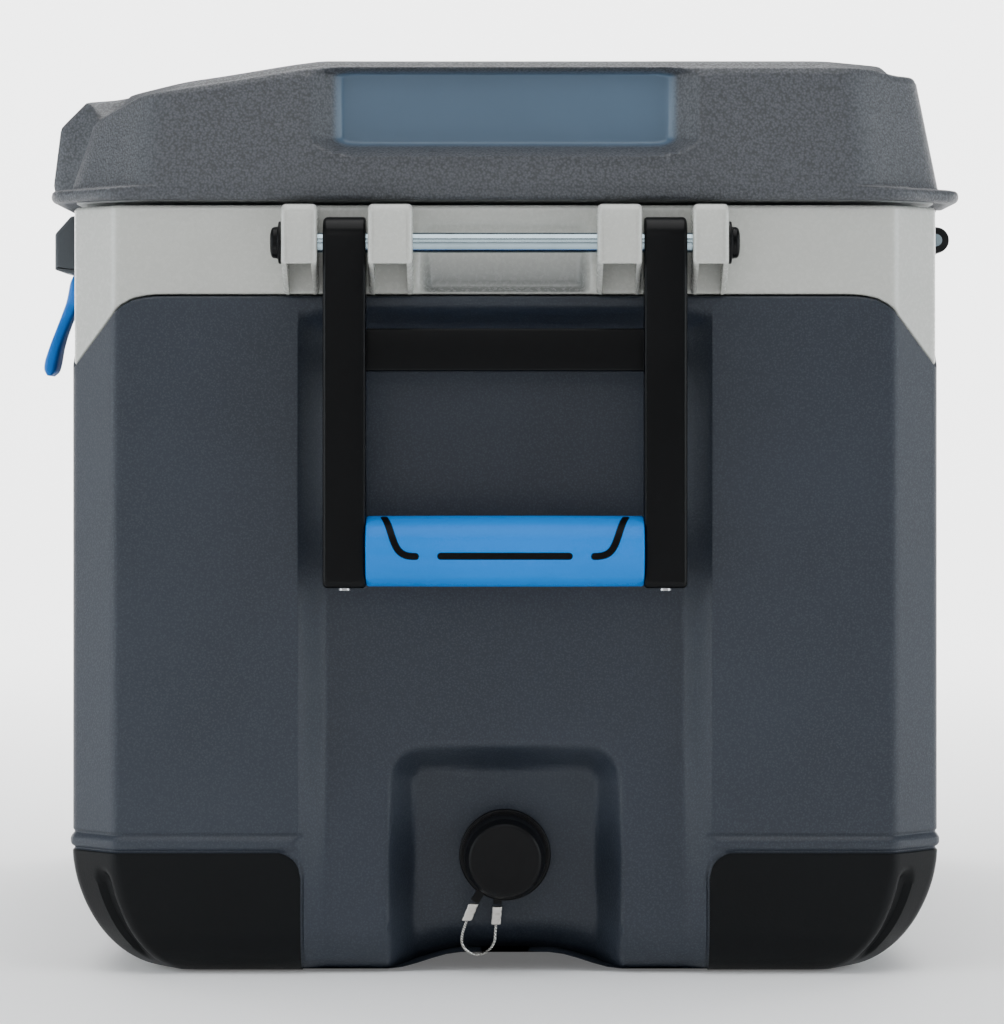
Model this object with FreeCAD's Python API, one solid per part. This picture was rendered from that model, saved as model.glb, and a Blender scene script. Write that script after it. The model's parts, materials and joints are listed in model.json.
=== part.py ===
import FreeCAD, Part
import math
import os

# A hard chest cooler of about 50 litres. X runs along the chest, Z is up, -Y is the latch side.
# The drain is at the +X end. Lengths are in millimetres.
# Shapes are made about the chest's own centre line, and export_all moves them by Y_SHIFT so that the
# origin lies under the middle of the whole object's box.

V = FreeCAD.Vector
PAST = 1.0                  # how far a cutter or a joined block runs past the face it meets

# --- chest ---------------------------------------------------------------------------------------
BODY_HALF_LENGTH = 306.0
BODY_HALF_DEPTH = 206.6
CORNER_CUT = 22.0           # chamfer of the upright corners
BODY_BOTTOM = 1.5           # underside of the shell, above the soles
BODY_TOP = 321.4            # where shell and collar meet on the flats
COLLAR_HEIGHT = 42.9
SKIN = 3.0                  # wall of shell, collar and lid
SIDE_ROLL = 42.0            # radius that the long sides turn under with
END_ROLL = 24.0             # the same at the ends
COLLAR_POINT_DROP = 33.4    # how far the collar comes down to its point at each upright corner
COLLAR_SHOULDER_DROP = 7.7  # and where its edge starts across the corner
COLLAR_SWEEP = 40.0         # length of its slope along the long side

# --- handle channel and drain pocket -----------------------------------------------------------------
CHANNEL_HALF = 98.0
CHANNEL_DEPTH = 12.0
CHANNEL_DRAFT = 13.0
POCKET_HALF = 56.0
POCKET_DEPTH = 14.0         # below the channel's floor
POCKET_DRAFT = 13.0
POCKET_TOP = 108.5

# --- liner -------------------------------------------------------------------------------------------
WALL_END = 56.0             # shell, foam and liner together at each end
WALL_SIDE = 40.6            # the same at front and back
CAVITY_FLOOR = 44.0
CAVITY_CORNER = 26.0
LINER_WALL = 2.5
RIM_THICK = 3.0

# --- feet --------------------------------------------------------------------------------------------
FOOT_TOP = 58.2
FOOT_INNER_EDGE = 96.7      # |y| where a foot ends on the end face
FOOT_LENGTH = 105.0         # along the long side
FOOT_WALL = 5.0
FOOT_SCREW_R = 4.0
FOOT_SCREW_INSET = 68.0     # from both side faces
FOOT_SCREW_SINK = 2.6       # depth of the screw's seat in the sole

# --- lid ---------------------------------------------------------------------------------------------
LID_GAP = 2.2
LID_FLANGE = 7.1
LID_OVERHANG_X = 4.0
LID_OVERHANG_Y = 11.3       # flange beyond the body's front and back
LID_FLANGE_CUT = 30.0
LID_WALL_OVERHANG = 2.4     # foot of the lid's wall beyond the body's front and back
LID_WALL_CUT = 39.0
LID_HEIGHT = 67.9           # flange underside to crown
LID_DRAFT = 0.2303          # inward lean of the lid's walls for each unit of height
LID_SLOPE_START = -84.0     # y where the top starts to fall to the front
LID_SLOPE = 0.153
LID_RECESS_HALF = 90.0
LID_RECESS_FLOOR_HALF = 77.0
LID_RECESS_LOW = 22.5       # above the flange underside
LID_RECESS_HIGH = 64.1
LID_RECESS_DEPTH = 18.0     # from the flange's end
LID_RECESS_SILL = (-2.0, 4.0)   # lower edge at the mouth and at the floor, about LID_RECESS_LOW
LID_RECESS_HEAD = -2.0      # upper edge at the floor, about LID_RECESS_HIGH
BROW_HALF_LENGTH = 260.0    # the lid's front brow over the latches
BROW_PROUD = 13.0
BROW_HEIGHT = 50.5
BROW_ROOT = 30.0            # how far it runs into the lid, behind the wall's foot
BROW_BEVEL = (4.0, 16.0)    # how far its face leans back, and how far the bevel above goes back
BROW_BEVEL_DROP = 12.0      # height of that bevel
LID_PLUG_DEPTH = 12.0
LID_PLUG_GAP = 3.5
GASKET_WIDTH = 7.0
GASKET_INSET = 8.0          # from the cavity's edge
SOFT_GAP = 0.3

# --- ears, rod and handle ----------------------------------------------------------------------------
ROD_R = 4.75
ROD_DROP = 18.5             # rod centre, below the collar's top
ROD_OUT = 16.0              # rod centre, beyond the end face
EAR_INNER = (43.2, 64.0)
EAR_OUTER = (87.8, 104.5)
EAR_OUT = 28.0
EAR_TOP_DROP = 0.7          # below the collar's top
EAR_FRONT_HEIGHT = 28.0
EAR_ROOT_RISE = 0.4         # above the collar's lower edge
EAR_WALL = 2.5
EAR_BEVEL = 3.0             # along the ear's upper front edge
RUN_FIT = 0.08              # radial clearance of a pin in a bore that turns
STILL_FIT = 0.02            # radial clearance of a pin that doesn't
CAP_FLANGE_R = 10.0
CAP_FLANGE_THICK = 1.5
CAP_DOME_R = 7.5
CAP_DOME_HEIGHT = 4.0
CAP_DOME_TOP_R = 5.25
ARM_Y = (65.2, 85.2)
ARM_HALF_X = 10.0
ARM_TOP_REACH = 12.2        # above the rod centre
GRIP_DROP = 144.6           # grip centre below the rod centre
GRIP_R = 16.6
GRIP_END_GAP = 0.2
ARM_BELOW_GRIP = 17.2
CROSSBAR_DROP = (40.1, 60.3)
CROSSBAR_THICK = 8.0
CORE_R = 6.0
CORE_INTO_ARM = 14.0
INLAY_DEPTH = 1.0
INLAY_WIDTH = 3.3
INLAY_HALF = 31.5
INLAY_SIDE = (40.4, 48.5, 56.0)
INLAY_LINE_DROP = 1.9       # the line's centre below the grip's centre
HANDLE_SCREW_R = 1.6
HANDLE_SCREW_HEAD_R = 2.8
HANDLE_SCREW_HEAD = 1.2
ARM_BEVEL = (4.0, 5.0)      # across and along, at an arm's two ends

# --- drain -------------------------------------------------------------------------------------------
DRAIN_Z = 55.8
SPOUT_TUBE_R = 9.5
SPOUT_BORE_R = 8.0
SPOUT_FLANGE_PROUD = 6.0    # beyond the thread, as the next two
SPOUT_FLANGE_THICK = 3.0
SPOUT_GASKET_THICK = 1.5
SPOUT_GASKET_BACK = 1.0     # gasket's edge inside the flange's
THREAD_R = 13.0
THREAD_LENGTH = 17.5
RING_NUT_R = 11.5
RING_NUT_LENGTH = 4.0
INNER_GASKET_THICK = 1.0
ANCHOR_THICK = 1.6
ANCHOR_PROUD = 4.0
CAP_START = 2.3             # cap's rim in front of the tether anchor
CAP_WALL = 4.0              # around the thread, at the neck
CAP_RIM_PROUD = 4.8         # beyond the neck, as the next two
CAP_BASE_PROUD = 2.5
RING_PROUD = 3.5
CAP_RIM_THICK = 4.0
CAP_NECK_LENGTH = 2.5
CAP_NOSE_LENGTH = 24.0
CAP_NOSE_TAPER = 0.2        # nose narrower than the neck
SEAL_THICK = 1.7
RING_THICK = 2.0
CABLE_R = 0.7
FERRULE_WIDTH = 5.0
FERRULE_LENGTH = 9.0
FERRULE_THICK = 2.6
LUG_WIDTH = 4.0             # tongues that hold the ferrules
# The tether's route from the cap's ferrule to the spout's: (beyond the anchor's back face, y, z).
CABLE_ROUTE = [
    (8.7, -17.9, 25.5), (8.7, -20.3, 19.6), (7.5, -20.9, 12.9), (6.0, -16.2, 8.2),
    (4.1, -9.6, 8.2), (2.4, -4.9, 12.9), (0.8, -4.7, 17.9), (0.8, -4.3, 22.8),
]

# --- latches -----------------------------------------------------------------------------------------
LATCH_X = 168.0
LATCH_PIN_OUT = 5.4         # pin centre in front of the body's face
LATCH_PIN_RISE = 5.5        # and above the flange's underside
LATCH_PIN_R = 2.5
LATCH_PIN_HALF = 12.0
LATCH_EYE_R = 5.0
STRAP_HALF = 7.0
STRAP_THICK = 5.0
STRAP_SIDE_GAP = 1.2
NOTCH_ABOVE_EYE = 4.0       # room in the lid above the latch's eye
KEEPER_HALF = 22.5
KEEPER_BASE = 2.5
KEEPER_OUT = 21.5
KEEPER_TOP_GAP = 1.5        # to the lid's flange
KEEPER_CHAMFER = 9.0
KEEPER_SCREW_SEAT = 6.5     # seat of the screw's head, in front of the body's face
KEEPER_SCREW_SINK = 0.5     # head below the prong's face
KEEPER_SCREW_X = 15.0       # screws on each side of the latch
KEEPER_REACH = 36.0         # keeper's under face, about the latch pin
LATCH_CLEAR = 0.3
KNOB_HALF = 18.0
KNOB_OUT = 12.5
KNOB_BEVEL = 3.0
KNOB_LOW_DROP = 46.0        # below the latch pin, as the next three
WAIST_HALF = 8.0
TAB_HALF = 15.0
TAB_TOP_DROP = 68.0
TAB_LOW_DROP = 87.0
TAB_OUT = 27.0
TAB_IN = 6.0
TAB_LIP = (2.0, 8.0)        # height of the tab's thick edge, above its lower end
TAB_BEVEL = 4.0

# --- rear hinges ---------------------------------------------------------------------------------------
HINGE_X = 190.0
HINGE_DROP = 14.5           # below the lid's flange
HINGE_R = 6.5
HINGE_BACK_GAP = 0.3
HINGE_HALF = 20.0
HINGE_MIDDLE_HALF = 8.0
HINGE_SIDE_GAP = 0.4
HINGE_NOTCH_GAP = 1.0       # on each side of a leaf, in the lid's flange
HINGE_PIN_R = 3.0
LEAF_THICK = 3.0
LEAF_PLATE_GAP = 1.5        # between the body leaf's plate and the barrel above it
LEAF_WEB = 8.0              # how far the web between plate and barrel reaches down
LEAF_SCREW_X = 13.0         # screws on each side of a leaf's middle
LEAF_BELOW = 28.0           # below the hinge's pin
LEAF_ABOVE = 47.0           # above it
SCREW_HEAD_R = 3.5
SCREW_HEAD_THICK = 1.6
SCREW_R = 1.8

# --- worked out from the above ---------------------------------------------------------------------------
COLLAR_TOP = BODY_TOP + COLLAR_HEIGHT
CAVITY_HALF_LENGTH = BODY_HALF_LENGTH - WALL_END
CAVITY_HALF_DEPTH = BODY_HALF_DEPTH - WALL_SIDE
LID_HALF_DEPTH = BODY_HALF_DEPTH + LID_OVERHANG_Y
LID_WALL_HALF_DEPTH = BODY_HALF_DEPTH + LID_WALL_OVERHANG
COLLAR_POINT = BODY_TOP - COLLAR_POINT_DROP
COLLAR_SHOULDER = BODY_TOP - COLLAR_SHOULDER_DROP
LID_BOTTOM = COLLAR_TOP + LID_GAP
LID_TOP = LID_BOTTOM + LID_HEIGHT
FLANGE_TOP = LID_BOTTOM + LID_FLANGE
LID_HALF_LENGTH = BODY_HALF_LENGTH + LID_OVERHANG_X
RIM_BOTTOM = COLLAR_TOP - RIM_THICK
ROD_X = BODY_HALF_LENGTH + ROD_OUT
ROD_Z = COLLAR_TOP - ROD_DROP
EAR_TOP = COLLAR_TOP - EAR_TOP_DROP
EAR_FRONT_LOW = EAR_TOP - EAR_FRONT_HEIGHT
EAR_ROOT_LOW = BODY_TOP + EAR_ROOT_RISE
GRIP_Z = ROD_Z - GRIP_DROP
LATCH_PIN_Y = -BODY_HALF_DEPTH - LATCH_PIN_OUT
LATCH_PIN_Z = LID_BOTTOM + LATCH_PIN_RISE
KEEPER_TOP = LID_BOTTOM - KEEPER_TOP_GAP
KNOB_LOW = LATCH_PIN_Z - KNOB_LOW_DROP
TAB_TOP = LATCH_PIN_Z - TAB_TOP_DROP
TAB_LOW = LATCH_PIN_Z - TAB_LOW_DROP
HINGE_Z = LID_BOTTOM - HINGE_DROP
LEAF_LOW = HINGE_Z - LEAF_BELOW
LEAF_HIGH = HINGE_Z + LEAF_ABOVE
HINGE_Y = BODY_HALF_DEPTH + HINGE_BACK_GAP + HINGE_R
SPOUT_FLANGE_R = THREAD_R + SPOUT_FLANGE_PROUD
ANCHOR_R = THREAD_R + ANCHOR_PROUD
CAP_NECK_R = THREAD_R + CAP_WALL
CAP_RIM_R = CAP_NECK_R + CAP_RIM_PROUD
CAP_BASE_R = CAP_NECK_R + CAP_BASE_PROUD
CAP_NOSE_R = CAP_NECK_R - CAP_NOSE_TAPER
RING_OUTER_R = CAP_NECK_R + RING_PROUD
POCKET_FLOOR_X = BODY_HALF_LENGTH - CHANNEL_DEPTH - POCKET_DEPTH
SPOUT_FLANGE_X = POCKET_FLOOR_X + SPOUT_GASKET_THICK
THREAD_X = SPOUT_FLANGE_X + SPOUT_FLANGE_THICK
THREAD_END = THREAD_X + THREAD_LENGTH
CAP_X = THREAD_X + ANCHOR_THICK + CAP_START
NECK_X = CAP_X + CAP_RIM_THICK
NOSE_X = NECK_X + CAP_NECK_LENGTH
RING_X = NECK_X + (CAP_NECK_LENGTH - RING_THICK) / 2
FRONT_REACH = BODY_HALF_DEPTH + TAB_OUT
REAR_REACH = HINGE_Y + HINGE_R
Y_SHIFT = (FRONT_REACH - REAR_REACH) / 2


# --- small makers ------------------------------------------------------------------------------------
def box(x, y, z):
    """Block between the pairs x, y and z."""
    return Part.makeBox(x[1] - x[0], y[1] - y[0], z[1] - z[0], V(x[0], y[0], z[0]))


def cylinder_x(radius, x, y, z):
    """Cylinder along X between the pair x."""
    return Part.makeCylinder(radius, x[1] - x[0], V(x[0], y, z), V(1, 0, 0))


def cylinder_y(radius, x, y, z):
    """Cylinder along Y between the pair y."""
    return Part.makeCylinder(radius, y[1] - y[0], V(x, y[0], z), V(0, 1, 0))


def cylinder_z(radius, x, y, z):
    """Cylinder along Z between the pair z."""
    return Part.makeCylinder(radius, z[1] - z[0], V(x, y, z[0]), V(0, 0, 1))


def outline(points):
    """Closed wire through the points."""
    return Part.makePolygon(list(points) + [points[0]])


def prism_x(points, x):
    """Outline of (y, z) points carried along X between the pair x."""
    face = Part.Face(outline([V(x[0], y, z) for y, z in points]))
    return face.extrude(V(x[1] - x[0], 0, 0))


def prism_y(points, y):
    """Outline of (x, z) points carried along Y between the pair y."""
    face = Part.Face(outline([V(px, y[0], z) for px, z in points]))
    return face.extrude(V(0, y[1] - y[0], 0))


def corner_points(half_x, half_y, cut, z):
    """Rectangle with its corners cut off, as eight points at height z."""
    return [
        V(half_x, -half_y + cut, z), V(half_x, half_y - cut, z),
        V(half_x - cut, half_y, z), V(-half_x + cut, half_y, z),
        V(-half_x, half_y - cut, z), V(-half_x, -half_y + cut, z),
        V(-half_x + cut, -half_y, z), V(half_x - cut, -half_y, z),
    ]


def chest(half_x, half_y, cut, z):
    """Upright block with cut corners between the pair z."""
    face = Part.Face(outline(corner_points(half_x, half_y, cut, z[0])))
    return face.extrude(V(0, 0, z[1] - z[0]))


def tapered_chest(half_x, half_y, cut, z, lean):
    """The same block with walls that lean inwards by lean for each unit of height."""
    inwards = (z[1] - z[0]) * lean
    low = outline(corner_points(half_x, half_y, cut, z[0]))
    high = outline(corner_points(half_x - inwards, half_y - inwards, cut, z[1]))
    return Part.makeLoft([low, high], True, True)


def rounded_tub(half_x, half_y, radius, z):
    """Upright block with round corners between the pair z."""
    block = box((-half_x, half_x), (-half_y, half_y), z)
    upright = [e for e in block.Edges if abs(e.tangentAt(e.FirstParameter).z) > 0.9]
    return block.makeFillet(radius, upright)


def inset_cut(cut, inset):
    """Corner cut that keeps a wall of equal thickness when a block's sides move in by inset."""
    return cut - inset * (2 - math.sqrt(2))


def both_ends(shape):
    """The shape and its copy turned half round to the other end, as a list."""
    turned = shape.copy()
    turned.rotate(V(0, 0, 0), V(0, 0, 1), 180)
    return [shape, turned]


def mirrored(shape, normal):
    """The shape mirrored in the plane through the origin with this normal."""
    return shape.mirror(V(0, 0, 0), normal)


def union(shapes):
    """All the shapes as one solid, without seams between flush faces."""
    return shapes[0].multiFuse(shapes[1:]).removeSplitter()


def less(shape, cutters):
    """The shape without the cutters."""
    return shape.cut(Part.makeCompound(cutters)) if cutters else shape


def frustum_x(outer, inner):
    """Tapered block between two upright rectangles, each given as (x, half y, (low z, high z))."""
    wires = []
    for x, half, z in (outer, inner):
        corners = [(-half, z[0]), (half, z[0]), (half, z[1]), (-half, z[1])]
        wires.append(outline([V(x, y, height) for y, height in corners]))
    return Part.makeLoft(wires, True, True)


def screw(place, direction, head_r, head_thick, shank_r, length):
    """Round-headed screw: head outside place, shank inwards against direction."""
    head = Part.makeCylinder(head_r, head_thick, place, direction)
    shank = Part.makeCylinder(shank_r, length, place - direction * length, direction)
    return union([head, shank])


# --- the chest's shapes --------------------------------------------------------------------------------
def roll_under(inset):
    """Everything above the rolled lower edges, moved in by inset on every side."""
    reach = BODY_HALF_DEPTH - inset
    low = BODY_BOTTOM + inset
    top = LID_TOP

    def bowl(half, radius):
        """Half outline of a round-bottomed block, as a wire's edges in (across, z)."""
        bend = radius * (1 - math.sqrt(0.5))
        return [
            ("line", (-half, top), (half, top)),
            ("line", (half, top), (half, low + radius)),
            ("arc", (half, low + radius), (half - bend, low + bend), (half - radius, low)),
            ("line", (half - radius, low), (-half + radius, low)),
            ("arc", (-half + radius, low), (-half + bend, low + bend), (-half, low + radius)),
            ("line", (-half, low + radius), (-half, top)),
        ]

    def wire(pieces, place):
        edges = []
        for kind, *ends in pieces:
            ends = [place(*p) for p in ends]
            maker = Part.LineSegment(*ends) if kind == "line" else Part.Arc(*ends)
            edges.append(maker.toShape())
        return Part.Face(Part.Wire(edges))

    half_x = BODY_HALF_LENGTH - inset
    along = wire(bowl(reach, SIDE_ROLL - inset), lambda a, z: V(-half_x, a, z))
    across = wire(bowl(half_x, END_ROLL - inset), lambda a, z: V(a, -reach, z))
    return along.extrude(V(2 * half_x, 0, 0)).common(across.extrude(V(0, 2 * reach, 0)))


def channel(grow):
    """Handle channel of the +X end, grown on every side by grow."""
    face = BODY_HALF_LENGTH
    floor = face - CHANNEL_DEPTH - grow
    outer, inner = CHANNEL_HALF + grow, CHANNEL_HALF - CHANNEL_DRAFT + grow
    points = [V(face + PAST, -outer, -PAST), V(face, -outer, -PAST), V(floor, -inner, -PAST),
              V(floor, inner, -PAST), V(face, outer, -PAST), V(face + PAST, outer, -PAST)]
    solid = Part.Face(outline(points)).extrude(V(0, 0, BODY_TOP + grow + PAST))
    return solid


def pocket(grow):
    """Drain pocket in the +X channel's floor, grown on every side by grow."""
    face = BODY_HALF_LENGTH - CHANNEL_DEPTH + PAST
    floor = POCKET_FLOOR_X - grow
    outer = (face, POCKET_HALF + grow, (-PAST, POCKET_TOP + grow))
    inner = (floor, POCKET_HALF - POCKET_DRAFT + grow, (-PAST, POCKET_TOP - POCKET_DRAFT + grow))
    return frustum_x(outer, inner)


def recesses(grow):
    """Both handle channels and the drain pocket."""
    return both_ends(channel(grow)) + [pocket(grow)]


def collar_zone():
    """The space above the line where shell and collar meet, down to a point at each corner."""
    x, y = BODY_HALF_LENGTH, BODY_HALF_DEPTH
    edge_x, edge_y = x - CORNER_CUT, y - CORNER_CUT
    fall = (COLLAR_SHOULDER - COLLAR_POINT) / CORNER_CUT
    across = prism_x([(edge_y, BODY_TOP), (edge_y, COLLAR_SHOULDER),
                      (y + PAST, COLLAR_POINT - fall * PAST), (y + PAST, BODY_TOP)],
                     (edge_x, x + PAST))
    along = prism_y([(edge_x, BODY_TOP), (edge_x, COLLAR_POINT), (edge_x - COLLAR_SWEEP, BODY_TOP)],
                    (edge_y, y + PAST))
    zones = [box((-x - PAST, x + PAST), (-y - PAST, y + PAST), (BODY_TOP, COLLAR_TOP + PAST))]
    for part in (across, along):
        other = mirrored(part, V(1, 0, 0))
        zones += [part, other, mirrored(part, V(0, 1, 0)), mirrored(other, V(0, 1, 0))]
    return union(zones)


def envelope():
    """Outside of shell and collar together."""
    block = chest(BODY_HALF_LENGTH, BODY_HALF_DEPTH, CORNER_CUT, (BODY_BOTTOM, COLLAR_TOP))
    return less(block.common(roll_under(0)), recesses(0))


def foot_blocks(top):
    """The four corner blocks that the feet fill, up to the height top."""
    x = (BODY_HALF_LENGTH - FOOT_LENGTH, BODY_HALF_LENGTH + PAST)
    block = box(x, (FOOT_INNER_EDGE, BODY_HALF_DEPTH + PAST), (-PAST, top))
    front = mirrored(block, V(0, 1, 0))
    return {
        "foot_drain_rear": block,
        "foot_drain_front": front,
        "foot_far_rear": mirrored(block, V(1, 0, 0)),
        "foot_far_front": mirrored(front, V(1, 0, 0)),
    }


def foot_core():
    """What the feet wrap: the chest's lower part, moved in by the feet's wall."""
    inset = FOOT_WALL
    block = chest(BODY_HALF_LENGTH - inset, BODY_HALF_DEPTH - inset, inset_cut(CORNER_CUT, inset),
                  (BODY_BOTTOM, COLLAR_TOP))
    return block.common(roll_under(inset))


def inside_space():
    """The space between the shell's inner faces, up to the liner's rim."""
    def level(inset, z):
        return chest(BODY_HALF_LENGTH - inset, BODY_HALF_DEPTH - inset,
                     inset_cut(CORNER_CUT, inset), z)

    low_inset = FOOT_WALL + SKIN
    change = FOOT_TOP + SKIN
    low = level(low_inset, (BODY_BOTTOM, change)).common(roll_under(low_inset))
    return less(union([low, level(SKIN, (change, RIM_BOTTOM))]), recesses(SKIN))


def spout_hole(x):
    """The hole that the drain tube passes through, between the pair x."""
    return cylinder_x(SPOUT_TUBE_R + STILL_FIT, x, 0, DRAIN_Z)


def ear(span):
    """One hollow rod ear of the +X end, between the pair span along Y."""
    face = BODY_HALF_LENGTH
    out = face + EAR_OUT
    block = prism_y([(face - SKIN, EAR_TOP), (out - EAR_BEVEL, EAR_TOP), (out, EAR_TOP - EAR_BEVEL),
                     (out, EAR_FRONT_LOW),
                     (face, EAR_ROOT_LOW), (face - SKIN, EAR_ROOT_LOW)], span)
    hollow = prism_y([(face, EAR_TOP - EAR_WALL), (out - EAR_WALL, EAR_TOP - EAR_WALL),
                      (out - EAR_WALL, EAR_ROOT_LOW - PAST), (face, EAR_ROOT_LOW - PAST)],
                     (span[0] + EAR_WALL, span[1] - EAR_WALL))
    bore = cylinder_y(ROD_R + STILL_FIT, ROD_X, span, ROD_Z)
    return less(block, [hollow, bore])


def ears():
    """Eight ears, four at each end."""
    made = []
    for low, high in (EAR_INNER, EAR_OUTER):
        made += both_ends(ear((low, high))) + both_ends(ear((-high, -low)))
    return made


def make_shell_and_collar(parts):
    """Outer shell, collar with its ears, the feet and the foam between shell and liner."""
    outside, inside, zone = envelope(), inside_space(), collar_zone()
    mouth = chest(BODY_HALF_LENGTH - SKIN, BODY_HALF_DEPTH - SKIN, inset_cut(CORNER_CUT, SKIN),
                  (RIM_BOTTOM, COLLAR_TOP + PAST))
    skin = less(outside, [inside, mouth])
    collar = skin.common(zone)
    below = skin.cut(zone)
    blocks, core = foot_blocks(FOOT_TOP), foot_core()
    shell = less(below, [less(block, [core]) for block in blocks.values()])
    hole = spout_hole((CAVITY_HALF_LENGTH, POCKET_FLOOR_X + PAST))
    parts["outer_shell"] = less(shell, [hole] + foot_screw_holes())
    parts["collar"] = union([collar] + ears())
    for name, block in blocks.items():
        parts[name] = make_foot(block, core)
    parts["foot_screws"] = Part.makeCompound(foot_screws())
    parts["insulation_foam"] = less(inside, [liner_block(), hole])


def make_foot(block, core):
    """One corner foot: the chest's outside in that corner, with a sole that stands proud."""
    rolled = chest(BODY_HALF_LENGTH, BODY_HALF_DEPTH, CORNER_CUT, (0, FOOT_TOP))
    sunk = roll_under(0)
    sunk.translate(V(0, 0, -BODY_BOTTOM))
    solid = less(rolled.common(sunk).common(block), [core])
    holes = []
    for p in foot_screw_places():
        holes.append(cylinder_z(SCREW_R + STILL_FIT, p.x, p.y, (-PAST, FOOT_WALL + BODY_BOTTOM + PAST)))
        holes.append(cylinder_z(FOOT_SCREW_R + STILL_FIT, p.x, p.y, (-PAST, FOOT_SCREW_SINK)))
    return less(solid, holes)


def foot_screw_places():
    """Where each foot's screw enters its sole."""
    x, y = BODY_HALF_LENGTH - FOOT_SCREW_INSET, BODY_HALF_DEPTH - FOOT_SCREW_INSET
    return [V(sx * x, sy * y, 0) for sx in (1, -1) for sy in (1, -1)]


def foot_screw_holes():
    """Pilot holes in the shell's floor."""
    top = FOOT_WALL + BODY_BOTTOM + SKIN
    return [cylinder_z(SCREW_R, p.x, p.y, (0, top)) for p in foot_screw_places()]


def foot_screws():
    """One screw in each foot, its head sunk in the sole."""
    made = []
    for p in foot_screw_places():
        seat = V(p.x, p.y, FOOT_SCREW_SINK)
        made.append(screw(seat, V(0, 0, -1), FOOT_SCREW_R, SCREW_HEAD_THICK, SCREW_R,
                          FOOT_WALL + BODY_BOTTOM + SKIN - FOOT_SCREW_SINK))
    return made


def liner_block():
    """Outside of the inner liner, without its rim."""
    return rounded_tub(CAVITY_HALF_LENGTH + LINER_WALL, CAVITY_HALF_DEPTH + LINER_WALL,
                       CAVITY_CORNER + LINER_WALL, (CAVITY_FLOOR - LINER_WALL, RIM_BOTTOM))


def make_liner(parts):
    """The white inner tub with a rim that covers the foam."""
    rim = chest(BODY_HALF_LENGTH - SKIN, BODY_HALF_DEPTH - SKIN, inset_cut(CORNER_CUT, SKIN),
                (RIM_BOTTOM, COLLAR_TOP))
    cavity = rounded_tub(CAVITY_HALF_LENGTH, CAVITY_HALF_DEPTH, CAVITY_CORNER,
                         (CAVITY_FLOOR, COLLAR_TOP + PAST))
    hole = spout_hole((CAVITY_HALF_LENGTH - PAST, CAVITY_HALF_LENGTH + LINER_WALL + PAST))
    parts["inner_liner"] = less(union([rim, liner_block()]), [cavity, hole])


# --- lid -------------------------------------------------------------------------------------------------
def brow(inset):
    """Front brow of the lid, moved in by inset; its ends lean like the lid's walls."""
    front = -BODY_HALF_DEPTH - BROW_PROUD + inset
    low = LID_BOTTOM + (inset and LINER_WALL)
    top = LID_BOTTOM + BROW_HEIGHT - inset
    back = -LID_WALL_HALF_DEPTH + BROW_ROOT
    lean, bevel = BROW_BEVEL
    shape = [(back, low), (front, low), (front, FLANGE_TOP), (front + lean, top - BROW_BEVEL_DROP),
             (front + bevel, top), (back, top)]
    return prism_x(shape, (-BROW_HALF_LENGTH + inset, BROW_HALF_LENGTH - inset))


def above_slope(drop):
    """What is cut away above the lid's sloping front, lowered by drop."""
    start, far = LID_SLOPE_START, -LID_HALF_DEPTH - BROW_PROUD
    low_start = LID_TOP - drop
    return prism_x([(start, low_start), (start, LID_TOP + PAST), (far, LID_TOP + PAST),
                    (far, low_start - (start - far) * LID_SLOPE)],
                   (-LID_HALF_LENGTH - PAST, LID_HALF_LENGTH + PAST))


def lid_recess(grow):
    """Recess in the +X end of the lid that clears the raised handle, grown by grow."""
    outer_x = LID_HALF_LENGTH + PAST
    floor_x = LID_HALF_LENGTH - LID_RECESS_DEPTH - grow
    low, high = LID_BOTTOM + LID_RECESS_LOW - grow, LID_BOTTOM + LID_RECESS_HIGH + grow
    outer = (outer_x, LID_RECESS_HALF + grow, (low + LID_RECESS_SILL[0], high))
    inner = (floor_x, LID_RECESS_FLOOR_HALF + grow, (low + LID_RECESS_SILL[1], high + LID_RECESS_HEAD))
    return frustum_x(outer, inner)


def latch_notch(x, grow):
    """Slot in the lid's front edge that a latch hangs in, grown by grow."""
    half = STRAP_HALF + STRAP_SIDE_GAP + grow
    back = LATCH_PIN_Y + LATCH_EYE_R + 2 * LATCH_CLEAR + grow
    top = LATCH_PIN_Z + LATCH_EYE_R + NOTCH_ABOVE_EYE + grow
    front = -BODY_HALF_DEPTH - BROW_PROUD - PAST
    return box((x - half, x + half), (front, back), (LID_BOTTOM - PAST, top))


def hinge_notch(x):
    """Slot in the lid's rear flange that a hinge leaf passes through."""
    half = HINGE_HALF + HINGE_NOTCH_GAP
    return box((x - half, x + half), (LID_WALL_HALF_DEPTH, LID_HALF_DEPTH + PAST),
               (LID_BOTTOM - PAST, FLANGE_TOP + PAST))


def lid_inside():
    """Space inside the lid's shell, above its liner."""
    base = LID_BOTTOM + LINER_WALL
    lean = LID_DRAFT * (FLANGE_TOP - base)
    body = tapered_chest(LID_HALF_LENGTH - SKIN + lean, LID_WALL_HALF_DEPTH - SKIN + lean,
                         inset_cut(LID_WALL_CUT, SKIN), (base, LID_TOP - SKIN), LID_DRAFT)
    straight = chest(LID_HALF_LENGTH - SKIN, LID_WALL_HALF_DEPTH - SKIN,
                     inset_cut(LID_WALL_CUT, SKIN), (base, LID_TOP))
    space = union([body.common(straight), brow(SKIN)])
    slots = [latch_notch(x, SKIN) for x in (LATCH_X, -LATCH_X)]
    return less(space, [above_slope(SKIN)] + both_ends(lid_recess(SKIN)) + slots)


def lid_floor():
    """Outline of the lid's underside plate."""
    plate = chest(LID_HALF_LENGTH - SKIN, LID_WALL_HALF_DEPTH - SKIN, inset_cut(LID_WALL_CUT, SKIN),
                  (LID_BOTTOM, LID_BOTTOM + LINER_WALL))
    return less(plate, [latch_notch(x, SKIN) for x in (LATCH_X, -LATCH_X)])


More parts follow.
